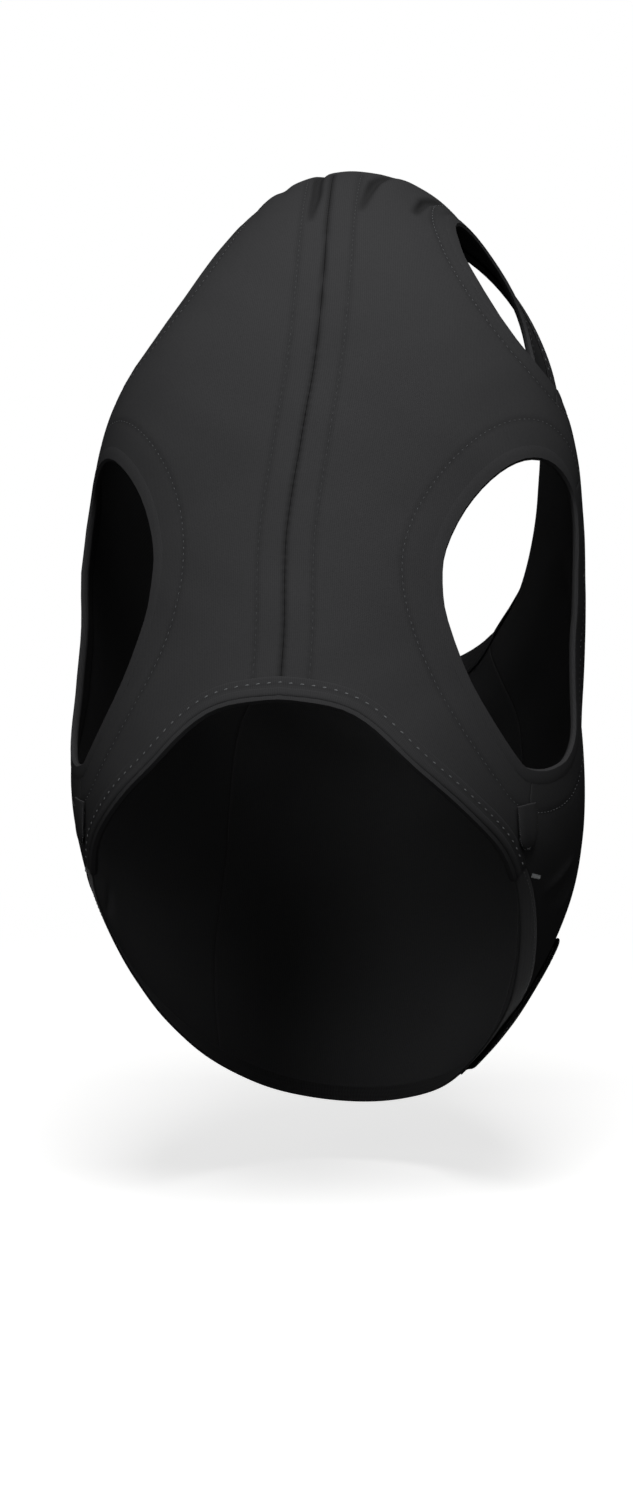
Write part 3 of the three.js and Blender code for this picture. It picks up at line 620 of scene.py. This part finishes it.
def clothMaterial(name, look):
    material, tree = newMaterial(name)
    threads = addNode(tree, "ShaderNodeUVMap", {"uv_map": "threads"}).outputs[0]
    place = addNode(tree, "ShaderNodeTexCoord").outputs["Object"]
    wales = ribbing(tree, threads, "X", look["wale"] * mm)
    courses = ribbing(tree, threads, "Y", look["course"] * mm)
    across = maths(tree, "MULTIPLY", wales, surface["waleShare"])
    loops = maths(tree, "ADD", across, maths(tree, "MULTIPLY", courses, surface["courseShare"]))
    fuzz = noise(tree, place, look["fuzz"], Detail=4.0)
    cloud = noise(tree, place, surface["cloudScale"], Detail=2.0)
    drawn = addNode(tree, "ShaderNodeMapping", {}, {"Vector": threads, "Scale": surface["streakScale"]})
    streak = noise(tree, drawn.outputs[0], 1.0)
    dark, light = linear(look["dark"]), linear(look["light"])
    tone = colourMix(tree, loops, dark, light)
    tone = colourMix(tree, maths(tree, "MULTIPLY", fuzz, look["mottle"]), tone, linear(look["worn"]))
    tone = colourMix(tree, maths(tree, "MULTIPLY", cloud, surface["cloudShare"]), tone, dark)
    tone = colourMix(tree, maths(tree, "MULTIPLY", streak, surface["streakShare"]), tone, light)
    if look.get("sewn"):  # the cloth is darker along its seams, and painted shade darkens its deep creases
        sewn = addNode(tree, "ShaderNodeAttribute", {"attribute_name": "sewn"}).outputs["Fac"]
        tone = colourMix(tree, maths(tree, "MULTIPLY", sewn, look["sewn"]), tone, linear(surface["pressed"]))
    bump = bumped(tree, Height=loops, Strength=look["bump"], Distance=look["relief"] * mm)
    bump = bumped(
        tree, Height=fuzz, Strength=look["hair"], Distance=surface["hairHeight"] * mm, Normal=bump
    )
    rough = maths(tree, "MULTIPLY", fuzz, surface["roughSpread"])
    rough = maths(tree, "ADD", rough, look["roughness"] - surface["roughDrop"])
    inputs = {
        "Base Color": tone,
        "Roughness": rough,
        "Normal": bump,
        "Sheen Weight": look["sheen"],
        "Sheen Roughness": surface["sheenRoughness"],
        "Sheen Tint": linear(surface["sheenTint"]),
        "IOR": surface["ior"],
        "Specular IOR Level": look["gloss"],
    }
    shader = addNode(tree, "ShaderNodeBsdfPrincipled", {}, inputs)
    finishMaterial(tree, shader)
    return material


# What each cloth and trim looks like. Colours are sRGB; wale and course are the spacing in
# millimetres of the ribs across and along, relief their height.
matt = {"hair": 0.2, "sheen": 0.0, "gloss": 0.0}
twist = {"wale": 0.25, "course": 0.25, "relief": 0.05, "bump": 0.4, "fuzz": 1500.0}
twist.update({"hair": 0.2, "mottle": 0.3})
looks = {
    # warp-knit nylon and elastane: fine wales, matt all over, darker along its seams, with painted shade in
    # its deep creases
    "knit": {
        **matt,
        "dark": "303031", "light": "3c3c3d", "worn": "464647",
        "wale": 0.9, "course": 0.7, "relief": 0.1, "bump": 0.2, "fuzz": 900.0,
        "mottle": 0.5, "roughness": 0.7, "sewn": 0.6,
    },
    # the same knit turned under, duller and darker
    "facing": {
        **matt,
        "dark": "29292a", "light": "343435", "worn": "3c3c3d",
        "wale": 0.9, "course": 0.7, "relief": 0.14, "bump": 0.4, "fuzz": 1100.0,
        "mottle": 0.3, "roughness": 0.88,
    },
    # fold-over elastic: fine crosswise ribs, as matt as the cloth
    "binding": {
        **matt,
        "dark": "313132", "light": "3d3d3e", "worn": "474748",
        "wale": 0.8, "course": 2.2, "relief": 0.12, "bump": 0.3, "fuzz": 1300.0,
        "mottle": 0.25, "roughness": 0.7,
    },
    # woven elastic: coarse ribs across and rubber lines along
    "webbing": {
        **matt,
        "dark": "29292a", "light": "323233", "worn": "3a3a3b",
        "wale": 1.3, "course": 2.6, "relief": 0.2, "bump": 0.3, "fuzz": 1300.0,
        "mottle": 0.25, "roughness": 0.75, "gloss": 0.02,
    },
    # a stiff tape with the grain of moulded nylon hooks
    "hook": {
        **matt,
        "dark": "0d0d0e", "light": "232325", "worn": "303033",
        "wale": 1.2, "course": 1.2, "relief": 0.5, "bump": 1.0, "fuzz": 2400.0,
        "hair": 0.1, "mottle": 0.15, "roughness": 0.5, "gloss": 0.5,
    },
    # brushed nylon loops, deep and fuzzy
    "loop": {
        **matt,
        "dark": "161617", "light": "242426", "worn": "333335",
        "wale": 1.6, "course": 1.6, "relief": 0.2, "bump": 0.4, "fuzz": 1700.0,
        "hair": 0.9, "mottle": 0.5, "roughness": 0.95, "sheen": 0.25, "gloss": 0.1,
    },
    # grey polyester sewing thread, twisted, with a soft gloss
    "thread": {
        **twist,
        "dark": "4e5051", "light": "66686a", "worn": "727476",
        "roughness": 0.55, "sheen": 0.1, "gloss": 0.4,
    },
    # the same thread drawn tight in the cloth, where it shows less
    "greyThread": {
        **twist,
        "dark": "404143", "light": "505254", "worn": "5a5c5e",
        "roughness": 0.6, "sheen": 0.05, "gloss": 0.35,
    },
    # thread of the cloth's own colour, which hardly shows
    "tonalThread": {
        **twist,
        "dark": "303132", "light": "3c3d3e", "worn": "454647",
        "roughness": 0.6, "sheen": 0.0, "gloss": 0.2,
    },
    # the close satin stitches of a bar tack, which catch the light
    "brightThread": {
        **twist,
        "dark": "4a4c4e", "light": "5e6062", "worn": "6a6c6e",
        "roughness": 0.5, "sheen": 0.1, "gloss": 0.5,
    },
}
materialNames = {
    "knit": "knitted_elastane",
    "facing": "knitted_facing",
    "binding": "folded_elastic_binding",
    "webbing": "woven_elastic_webbing",
    "hook": "moulded_nylon_hook",
    "loop": "brushed_nylon_loop",
    "thread": "polyester_thread",
    "greyThread": "tight_polyester_thread",
    "tonalThread": "cloth_coloured_thread",
    "brightThread": "bar_tack_thread",
}
materials = {finish: clothMaterial(name, looks[finish]) for finish, name in materialNames.items()}
print("stage: materials made,", len(materials))


def dress(piece, finish, node, slot, rider="shell", bend=None):
    piece.data.materials.append(materials[finish])
    only(piece)
    bpy.ops.object.shade_smooth_by_angle(angle=math.radians(making["smoothAngle"]))
    if bend is None:
        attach(piece, rider)
    else:
        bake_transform(piece)
    if node:
        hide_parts(node)
    return piece


# how round the cut edges of the cloth are, and how far they press into each other, in millimetres
clothEdge = {"bevel": 0.5, "share": 0.36, "angle": 60, "segments": 2, "spread": 0.22}


# Moves the free edge of a piece out in its own plane, so that it meets the next one along a seam.
def spread(piece, distance):
    mesh = piece.data
    users = {}
    for face in mesh.polygons:
        for key in face.edge_keys:
            users.setdefault(key, []).append(face)
    push = {}
    for (first, second), faces in users.items():
        if len(faces) == 1:
            start, end = mesh.vertices[first].co, mesh.vertices[second].co
            out = (end - start).cross(faces[0].normal).normalized()
            if out.dot(faces[0].center - start) > 0:
                out.negate()
            for index in (first, second):
                push[index] = push.get(index, Vector()) + out
    for index, out in push.items():
        mesh.vertices[index].co += out.normalized() * distance * mm


def clothFrom(node, name, finish, slot, thickness, lift=None, levels=2, lay=None, **riding):
    piece = copyOf(node, name)
    keepOuterFace(piece)
    smoothed(piece, levels)
    settle(piece, lift, **(lay or {}))
    spread(piece, clothEdge["spread"])
    applied(piece, "SOLIDIFY", thickness=thickness * mm, offset=-1, use_even_offset=True, use_rim=True)
    angle = math.radians(clothEdge["angle"])
    width = min(clothEdge["bevel"], thickness * clothEdge["share"]) * mm
    bevel = {"limit_method": "ANGLE", "angle_limit": angle, "width": width, "segments": clothEdge["segments"]}
    applied(piece, "BEVEL", **bevel)
    return dress(piece, finish, node, slot, **riding)


def foldFrom(node, name, finish, lay):
    piece = copyOf(node, name)
    smoothed(piece, 1)
    settle(piece, **lay)
    return dress(piece, finish, node, "binding")


# A stitch lies along its row, or turned across it.
stitchKinds = {
    "row": {"length": 2.1, "width": 0.3, "pitch": 3.4, "turn": 0},
    "cover": {"length": 3.1, "width": 0.6, "pitch": 4.7, "turn": 8},
    "fine": {"length": 1.8, "width": 0.3, "pitch": 3.0, "turn": 0},
    "over": {"length": 1.9, "width": 0.45, "pitch": 0.8, "turn": 78},
    "satin": {"length": 2.4, "width": 0.55, "pitch": 0.68, "turn": 84},
}
bead = {"flat": 0.75, "endFrom": 0.3, "press": 0.45}  # its height, and where and how far its ends go down
sewing = {
    "sinkBelow": 1.6,  # a row lower than this goes down with the cloth
    "reach": 0.5,  # how far to each side of a stitch its direction is taken, in millimetres
    "uneven": 4,  # degrees that stitches are off their row
    "unevenStep": 2.4,
}


def stitchOf(kind):  # one stitch along X, with its ends pressed in
    look = stitchKinds[kind]
    bpy.ops.object.select_all(action="DESELECT")
    bpy.ops.mesh.primitive_uv_sphere_add(segments=6, ring_count=4, radius=0.5)
    stitch = bpy.context.object
    bpy.ops.object.mode_set(mode="EDIT")
    bpy.ops.mesh.select_all(action="SELECT")
    bpy.ops.transform.rotate(value=math.pi / 2, orient_axis="Y", center_override=(0, 0, 0))
    size = (look["length"] * mm, look["width"] * mm, look["width"] * bead["flat"] * mm)
    bpy.ops.transform.resize(value=size, center_override=(0, 0, 0))
    bpy.ops.mesh.select_all(action="DESELECT")
    bpy.ops.object.mode_set(mode="OBJECT")
    for vertex in stitch.data.vertices:
        vertex.select = abs(vertex.co.x) > look["length"] * bead["endFrom"] * mm
    bpy.ops.object.mode_set(mode="EDIT")
    bpy.ops.transform.translate(value=(0, 0, -look["width"] * bead["press"] * mm))
    bpy.ops.object.mode_set(mode="OBJECT")
    return stitch


stitchModels = {kind: stitchOf(kind) for kind in stitchKinds}


def rowAt(stops, gone, values):
    return np.stack([np.interp(stops, gone, values[:, axis]) for axis in range(3)], -1)


def stitchRow(name, path, kind, lift, finish="thread", node=None, **riding):
    look = stitchKinds[kind]
    path = np.asarray(path, float)
    around, along = path[:, 0], path[:, 1]
    sink = dipShare(around, along) * lie["seamSink"] if lift < sewing["sinkBelow"] else 0.0
    points = onCloth(around, along, np.broadcast_to(lift, len(path)), sink)
    outs = slopes(slipped(around, along), along)[2] @ pitchTurn.T
    gone = lengths(points)
    count = max(2, int(gone[-1] / (look["pitch"] * mm)))
    stops = (np.arange(count) + 0.5) * gone[-1] / count
    reach = sewing["reach"] * mm
    middles, normals = rowAt(stops, gone, points), rowAt(stops, gone, outs)
    ahead, behind = rowAt(stops + reach, gone, points), rowAt(stops - reach, gone, points)
    made = []
    model = stitchModels[kind].data
    for i in range(count):
        up = Vector(normals[i]).normalized()
        way = (Vector(ahead[i]) - Vector(behind[i])).normalized()
        off = look["turn"] + sewing["uneven"] * math.sin(i * sewing["unevenStep"])
        way = Matrix.Rotation(math.radians(off), 3, up) @ way
        side = up.cross(way).normalized()
        turn = Matrix((way, side, way.cross(side))).transposed().to_4x4()
        turn.translation = middles[i]
        mesh = model.copy()
        mesh.transform(turn)
        made.append(bpy.data.objects.new(name, mesh))
        bpy.context.scene.collection.objects.link(made[-1])
    bpy.ops.object.select_all(action="DESELECT")
    for stitch in made:
        stitch.select_set(True)
    bpy.context.view_layer.objects.active = made[0]
    bpy.ops.object.join()
    row = made[0]
    row.name = name
    mapThreads(row)
    return dress(row, finish, node, "thread", **riding)


# The lower half of a folded edge stands up a little, as a soft roll over its elastic.
roll = {"near": 0.35, "far": 4.4, "height": 0.75, "base": 1.9, "across": 10, "thickness": 0.5}


def rollOn(name, path, side):
    across = roll["across"]
    bpy.ops.mesh.primitive_grid_add(x_subdivisions=len(path) - 1, y_subdivisions=across, size=1)
    piece = bpy.context.object
    piece.name = name
    flat = coordinates(piece.data)
    station = np.rint((flat[:, 0] + 0.5) * (len(path) - 1)).astype(int)
    share = flat[:, 1] + 0.5
    wide = roll["far"] - roll["near"]
    rows = [beside(path, side * (roll["near"] + wide * k / across)) for k in range(across + 1)]
    places = np.array(rows)[np.rint(share * across).astype(int), station]
    height = roll["base"] + roll["height"] * np.sqrt(np.clip(1 - (2 * share - 1) ** 2, 0, 1))
    setCoordinates(piece.data, onCloth(places[:, 0], places[:, 1], height))
    mapBand(piece, path)
    only(piece)
    bpy.ops.object.mode_set(mode="EDIT")
    bpy.ops.mesh.select_all(action="SELECT")
    bpy.ops.mesh.normals_make_consistent(inside=False)
    bpy.ops.object.mode_set(mode="OBJECT")
    around, along, _ = placesOf(coordinates(piece.data)[:1])
    out = pitchTurn @ slopes(around, along)[2][0]
    if Vector(out).dot(piece.data.polygons[0].normal) < 0:
        piece.data.flip_normals()
    thickness = roll["thickness"] * mm
    applied(piece, "SOLIDIFY", thickness=thickness, offset=-1, use_even_offset=True, use_rim=True)
    return dress(piece, "binding", None, "binding")


panel = {"levels": 3, "lay": {"dips": True}}
thick = {"panel": 1.0, "tab": 0.9, "inner": 0.7, "tape": 0.6}
outer, inner = 1.4, -0.6  # the heights of the outer and the inner cloth over the form
parts = [(f"{part}_panel_{side}", f"{part}_cloth_{side}") for side in sides for part in ("face", "cheek")]
for node, name in parts + [("crown_panel", "crown_cloth"), ("jaw_panel", "jaw_cloth")]:
    clothFrom(node, name, "knit", "knit", thick["panel"], outer, **panel)
print("stage: panels dressed")


def addWebbing(node, name, thickness, lift, path):
    lay = {"band": path}
    clothFrom(node, name, "webbing", "webbing", thickness, lift, lay=lay)


# each edge with its path, and the side of it that its cloth lies on
edges = {"nose": (nosePath, -1), "neck": (neckPath, 1), "throat": (throatPath, 1)}
for part in ("eye", "ear"):
    for side in sides:
        node = f"{part}_facing_{side}"
        name = f"{part}_facing_cloth_{side}"
        clothFrom(node, name, "facing", "facing", thick["inner"], inner)
        node = f"{part}_binding_{side}"
        foldFrom(node, f"{part}_fold_{side}", "knit", {"flushFold": True})
for part, (path, _) in edges.items():
    node = f"{part}_edge_binding"
    foldFrom(node, f"{part}_edge_fold", "binding", {"band": path})
    addWebbing(f"{part}_edge_elastic", f"{part}_edge_band", thick["inner"], inner, path)
addWebbing("centre_seam_tape", "centre_tape", thick["inner"], inner, centrePath)
for node, ends in bandPaths.items():
    addWebbing(node, f"{node}_cloth", thick["panel"], outer, lowerPath(*ends))
print("stage: edges and bands dressed")

# The tabs and flaps, each held to the mask along its sewn edge; their hook pads and stitches ride on the tab
# or flap.
closures = {
    "bendBack": 2.5,  # the bend starts and ends this far from the hinge
    "bendOut": 7.0,
    "tabTip": (0.425, 0.0965),
    "tabTilt": -42,
    "tabLength": 28,
    "tabHalf": 6.5,
    "tabDroop": 0.8,  # how far its rim lies down
    "flapFoot": 8,  # from the slit to the sewn edge
    "flapStarts": {"lower": 3, "middle": 77.05, "upper": 151.1},  # up from the lower edge
    "flapLength": 64.05,
    "flapWidth": 54,
    "flapInset": 2.6,  # from its edges to its stitches
    "flapRoot": 14,  # and from its sewn edge to where they start
    "flapCorner": 2.5,  # insets that they stop short of the free edge
    "rootInset": 1.8,
    "rootEnds": 2,
    "points": 16,  # along each side of a flap
    # the rim of a tab: shares of its length back from the tip, then millimetres round it, and how wide
    "rimShares": (0.66, 0.5, 0.3),
    "rimTip": (4.2, 1.6, 0.6),
    "rimWidths": (1, 1, 1, 0.82, 0.5, 0.2),
    "rimInset": 0.5,
    "tackPlace": (0.482, 0.095),
    "tackTilt": 34,  # degrees, where its solid lies at 0
    "tackLength": 9,
    "tackPoints": 8,
    "tackUp": 0.1,
}
levels = ("lower", "middle", "upper")
hinges = {joint["child"]: Vector(joint["pos_m"]) for joint in frame["joints"]}


def bendOf(body):
    around, along, _ = placesOf(np.array([hinges[body][:]]))
    if body.startswith("cheek_tab"):
        tip = np.array(closures["tabTip"]) * (1 if body.endswith("left") else -1, 1)
        way = (Vector(onHead(*tip)) - hinges[body]).normalized()
    else:
        way = -Vector(pitchTurn @ slopes(around, along)[0][0]).normalized()
    return hinges[body] - way * closures["bendBack"] * mm, hinges[body] + way * closures["bendOut"] * mm


def onTab(around, along):  # how far towards the tip of a tab, and from its middle line
    a, b, _ = slopes(*closures["tabTip"])
    right = (np.abs(around) - closures["tabTip"][0]) * np.linalg.norm(a)
    up = (along - closures["tabTip"][1]) * np.linalg.norm(b)
    turn = math.radians(closures["tabTilt"])
    return right * math.cos(turn) + up * math.sin(turn), up * math.cos(turn) - right * math.sin(turn)


def tabDroop(around, along):  # the rim of a tab lies down on the cloth
    back, half = onTab(around, along)
    rim = np.clip(np.abs(half) / closures["tabHalf"], 0, 1) ** 5
    end = np.clip(1 + back / closures["tabLength"], 0, 1) ** 10
    return closures["tabDroop"] * np.clip(rim + end, 0, 1)


def flapPath(level, inset, root):  # round three sides of a flap, from its root
    foot = lowerPath(jawLine, jawLine, 0)
    start, long, wide = closures["flapStarts"][level], closures["flapLength"], closures["flapWidth"]
    foot = walked(foot, 0, closures["flapFoot"])
    low, high = walked(foot, 1, start + inset), walked(foot, 1, start + long - inset)
    run = np.linspace(root, wide - inset * closures["flapCorner"], closures["points"])
    lower = np.vstack([walked(low, 0, -distance) for distance in run])
    upper = np.vstack([walked(high, 0, -distance) for distance in run])
    rise = np.linspace(start + inset, start + long - inset, closures["points"])[1:-1]
    free = np.vstack([walked(walked(foot, 1, distance), 0, -(wide - inset)) for distance in rise])
    return finer(np.vstack([lower, free, upper[::-1]]))


def rootPath(level, distance):  # up the sewn edge of a flap
    foot = walked(lowerPath(jawLine, jawLine, 0), 0, closures["flapFoot"])
    ends, long = closures["rootEnds"], closures["flapLength"]
    rise = closures["flapStarts"][level] + np.linspace(ends, long - ends, closures["points"])
    return finer(np.vstack([walked(walked(foot, 1, up), 0, -distance) for up in rise]))


def walked(place, way, distance):  # from a place, round (0) or along (1) the form
    place = np.array(place, float).reshape(1, 2)
    strides = max(1, math.ceil(abs(distance) / stepLimit["walked"]))
    for _ in range(strides):
        place = moved(place, slopes(place[:, 0], place[:, 1])[way], distance / strides)
    return place


def finer(path, count=6):
    stops = np.linspace(0, len(path) - 1, (len(path) - 1) * count + 1)
    return np.stack([np.interp(stops, np.arange(len(path)), path[:, axis]) for axis in (0, 1)], -1)


def tabPath(side):  # round the rim of a tab, from one side of its root to the other
    long, half = closures["tabLength"], closures["tabHalf"] - closures["rimInset"]
    back = [-long * share for share in closures["rimShares"]] + [-far for far in closures["rimTip"]]
    up = [half * share for share in closures["rimWidths"]]
    back, up = back + back[::-1], up + [-width for width in up[::-1]]
    path = laid(closures["tabTip"], closures["tabTilt"], back, up)
    return finer(path if side == "left" else mirrored(path), 10)


def tackPath(side):
    half = closures["tackLength"] / 2
    back = np.linspace(-half, half, closures["tackPoints"])
    path = finer(laid(closures["tackPlace"], closures["tackTilt"], back, 0))
    return path if side == "left" else mirrored(path)


def addPads(kind, which, tape, body):  # the hooks ride on the tab or flap, the loops stay on the cheek
    hook, loop = f"{kind}_hook_{which}", f"{kind}_loop_{which}"
    names = [f"{kind}_{grip}_{tape}_{which}" for grip in ("hook", "loop")]
    clothFrom(hook, names[0], "hook", "hook", thick["tape"], rider=body)
    clothFrom(loop, names[1], "loop", "loop", thick["tape"])


# Heights of the stitches, on the layer that each row shows on.
clothTop, foldTop, rootTop, flapTop = 1.5, 2.05, 2.15, 3.95
for side in sides:
    body = f"cheek_tab_{side}"
    riding = {"rider": body, "bend": bendOf(body)}
    finish = {"levels": 3, "lay": {"droop": tabDroop}}
    clothFrom(body, f"tab_cloth_{side}", "knit", "knit", thick["tab"], **finish, **riding)
    addPads("tab", side, "pad", body)
    rimTop = flapTop - closures["tabDroop"]
    stitchRow(f"tab_rim_{side}", tabPath(side), "over", rimTop, "greyThread", rider=body)
    name, node, tackTop = f"bar_tack_{side}", f"bartack_{side}", clothTop + closures["tackUp"]
    stitchRow(name, tackPath(side), "satin", tackTop, "brightThread", node)
for level in levels:
    body = f"jaw_flap_{level}"
    riding = {"rider": body, "bend": bendOf(body)}
    clothFrom(body, f"flap_cloth_{level}", "knit", "knit", thick["panel"], **riding)
    addPads("flap", level, "tape", body)
    path = flapPath(level, closures["flapInset"], closures["flapRoot"])
    stitchRow(f"flap_stitches_{level}", path, "row", flapTop, "greyThread", rider=body)
    path = rootPath(level, closures["rootInset"])
    stitchRow(f"flap_root_stitches_{level}", path, "row", rootTop, "greyThread")

# Stitches along the edges and seams.
bandRow = {"ends": 0.006, "below": 0.005}  # how far short of a band's ends and top its stitches lie
for side, way in (("left", 1), ("right", -1)):
    path = beside(centrePath, way * rowsOf["centre"])
    stitchRow(f"centre_stitches_{side}", path, "row", clothTop, "tonalThread")
for side in sides:
    for part in ("eye", "ear"):
        facing = openingPath(part, rowsOf[f"{part}Facing"])
        facing = facing if side == "left" else mirrored(facing)
        stitchRow(f"{part}_facing_stitches_{side}", facing, "fine", clothTop, "greyThread")
for part, (path, way) in edges.items():
    rollOn(f"{part}_edge_roll", path, way)
for part, (path, way) in edges.items():
    stitchRow(f"{part}_edge_stitches", beside(path, way * rowsOf["binding"]), "cover", foldTop)
for node, (start, end) in bandPaths.items():
    up, short = bandTop - bandRow["below"], bandRow["ends"]
    top = straight((start + short, up), (end - short, up))
    stitchRow(f"{node}_stitches", top, "fine", clothTop, "tonalThread")


# The camera stands where the photograph was taken from, low and a little to the near side.
cameraPlace = {
    "azimuth": 9.8,
    "elevation": 2,
    "roll": -0.4,
    "distance": 2000,
    "focal": 4600,  # in pixels of the photograph
    "target": (0, -118.94, -122.47),
    "middle": (307.1, 459.3),  # the pixel that the target falls on
    "width": 633,
    "height": 1500,
    "sensor": 36,
    "sees": (0.05, 50),
}


def addCamera(place):
    turn, rise = math.radians(place["azimuth"]), math.radians(place["elevation"])
    back = Vector((math.sin(turn) * math.cos(rise), -math.cos(turn) * math.cos(rise), math.sin(rise)))
    right = Vector((0, 0, 1)).cross(back).normalized()
    up = back.cross(right)
    roll = math.radians(place["roll"])
    rightRolled = right * math.cos(roll) + up * math.sin(roll)
    upRolled = up * math.cos(roll) - right * math.sin(roll)
    bpy.ops.object.camera_add()
    camera = bpy.context.object
    camera.name = "camera"
    basis = Matrix((rightRolled, upRolled, back)).transposed().to_4x4()
    basis.translation = (Vector(place["target"]) + back * place["distance"]) * mm
    camera.matrix_world = basis
    longest = max(place["width"], place["height"])
    camera.data.sensor_width = place["sensor"]
    camera.data.sensor_fit = "AUTO"
    camera.data.lens = place["focal"] * place["sensor"] / longest
    camera.data.shift_x = (place["width"] / 2 - place["middle"][0]) / longest
    camera.data.shift_y = (place["middle"][1] - place["height"] / 2) / longest
    camera.data.clip_start, camera.data.clip_end = place["sees"]
    bpy.context.scene.camera = camera


addCamera(cameraPlace)

stageLook = {
    "floor": "e9e9e8",
    "bounce": "565656",  # what the floor throws back up, as a dark studio floor would
    "glow": 0.7,
    "drop": 0.03,  # the floor lies this far under the mask, clear of an open flap
    "whiteFrom": 0.3,
    "whiteAt": 1.0,
    "world": 0.11,
    "floorSize": 14,
}
lamps = {
    "key": {"place": (0.14, -0.72, 1.0), "size": 0.8, "power": 17},
    "fill": {"place": (-0.9, -2.4, 0.6), "size": 1.2, "power": 4},
}


def seenBack(tree):  # one for the rays that show the floor and the white behind the object
    path = addNode(tree, "ShaderNodeLightPath")
    both = maths(tree, "MAXIMUM", path.outputs["Is Camera Ray"], path.outputs["Is Glossy Ray"])
    return maths(tree, "MAXIMUM", both, path.outputs["Is Transmission Ray"])


def addStage(look):
    lowest = cadBox[0][2] - look["drop"]
    bpy.ops.mesh.primitive_plane_add(size=look["floorSize"], location=(0, 0, lowest))
    floor = bpy.context.object
    floor.name = "floor"
    material, tree = newMaterial("painted_floor")
    seen = seenBack(tree)
    paint = colourMix(tree, seen, linear(look["bounce"]), linear(look["floor"]))
    matt = addNode(tree, "ShaderNodeBsdfDiffuse", {}, {"Color": paint})
    lift = maths(tree, "MULTIPLY", seen, look["glow"])
    glow = addNode(tree, "ShaderNodeEmission", {}, {"Color": linear("ffffff"), "Strength": lift})
    both = addNode(tree, "ShaderNodeAddShader", {}, {0: matt.outputs[0], 1: glow.outputs[0]})
    # away from the object the floor goes over into the white behind it, for the camera only
    place = addNode(tree, "ShaderNodeTexCoord").outputs["Object"]
    distance = addNode(tree, "ShaderNodeVectorMath", {"operation": "LENGTH"}, {0: place}).outputs["Value"]
    near, far = look["whiteFrom"], look["whiteAt"]
    reach = addNode(
        tree,
        "ShaderNodeMapRange",
        {"interpolation_type": "SMOOTHSTEP"},
        {"Value": distance, "From Min": near, "From Max": far},
    ).outputs[0]
    white = addNode(tree, "ShaderNodeEmission", {}, {"Color": linear("ffffff"), "Strength": 1.0})
    share = maths(tree, "MULTIPLY", reach, seen)
    whole = addNode(tree, "ShaderNodeMixShader", {}, {0: share, 1: both.outputs[0], 2: white.outputs[0]})
    finishMaterial(tree, whole)
    floor.data.materials.append(material)
    world = bpy.data.worlds.new("studio")
    bpy.context.scene.world = world
    world.use_nodes = True
    tree = world.node_tree
    tree.nodes.clear()
    light = addNode(tree, "ShaderNodeBackground", {}, {"Color": linear("ffffff"), "Strength": look["world"]})
    seen = addNode(tree, "ShaderNodeBackground", {}, {"Color": linear("ffffff"), "Strength": 1.0})
    mix = addNode(
        tree, "ShaderNodeMixShader", {}, {0: seenBack(tree), 1: light.outputs[0], 2: seen.outputs[0]}
    )
    output = addNode(tree, "ShaderNodeOutputWorld")
    tree.links.new(mix.outputs[0], output.inputs["Surface"])


def addLamp(name, place, target, size, power):
    bpy.ops.object.light_add(type="AREA", location=place)
    lamp = bpy.context.object
    lamp.name = name
    lamp.data.size = size
    lamp.data.energy = power
    lamp.rotation_mode = "QUATERNION"
    lamp.rotation_quaternion = (Vector(target) - Vector(place)).to_track_quat("-Z", "Y")


addStage(stageLook)
for model in stitchModels.values():
    bpy.data.objects.remove(model)
middle = (Vector(cadBox[0]) + Vector(cadBox[1])) / 2
for name, lamp in lamps.items():
    addLamp(name, lamp["place"], middle, lamp["size"], lamp["power"])
bpy.context.scene.view_settings.view_transform = "Standard"
print("stage: camera and lights")
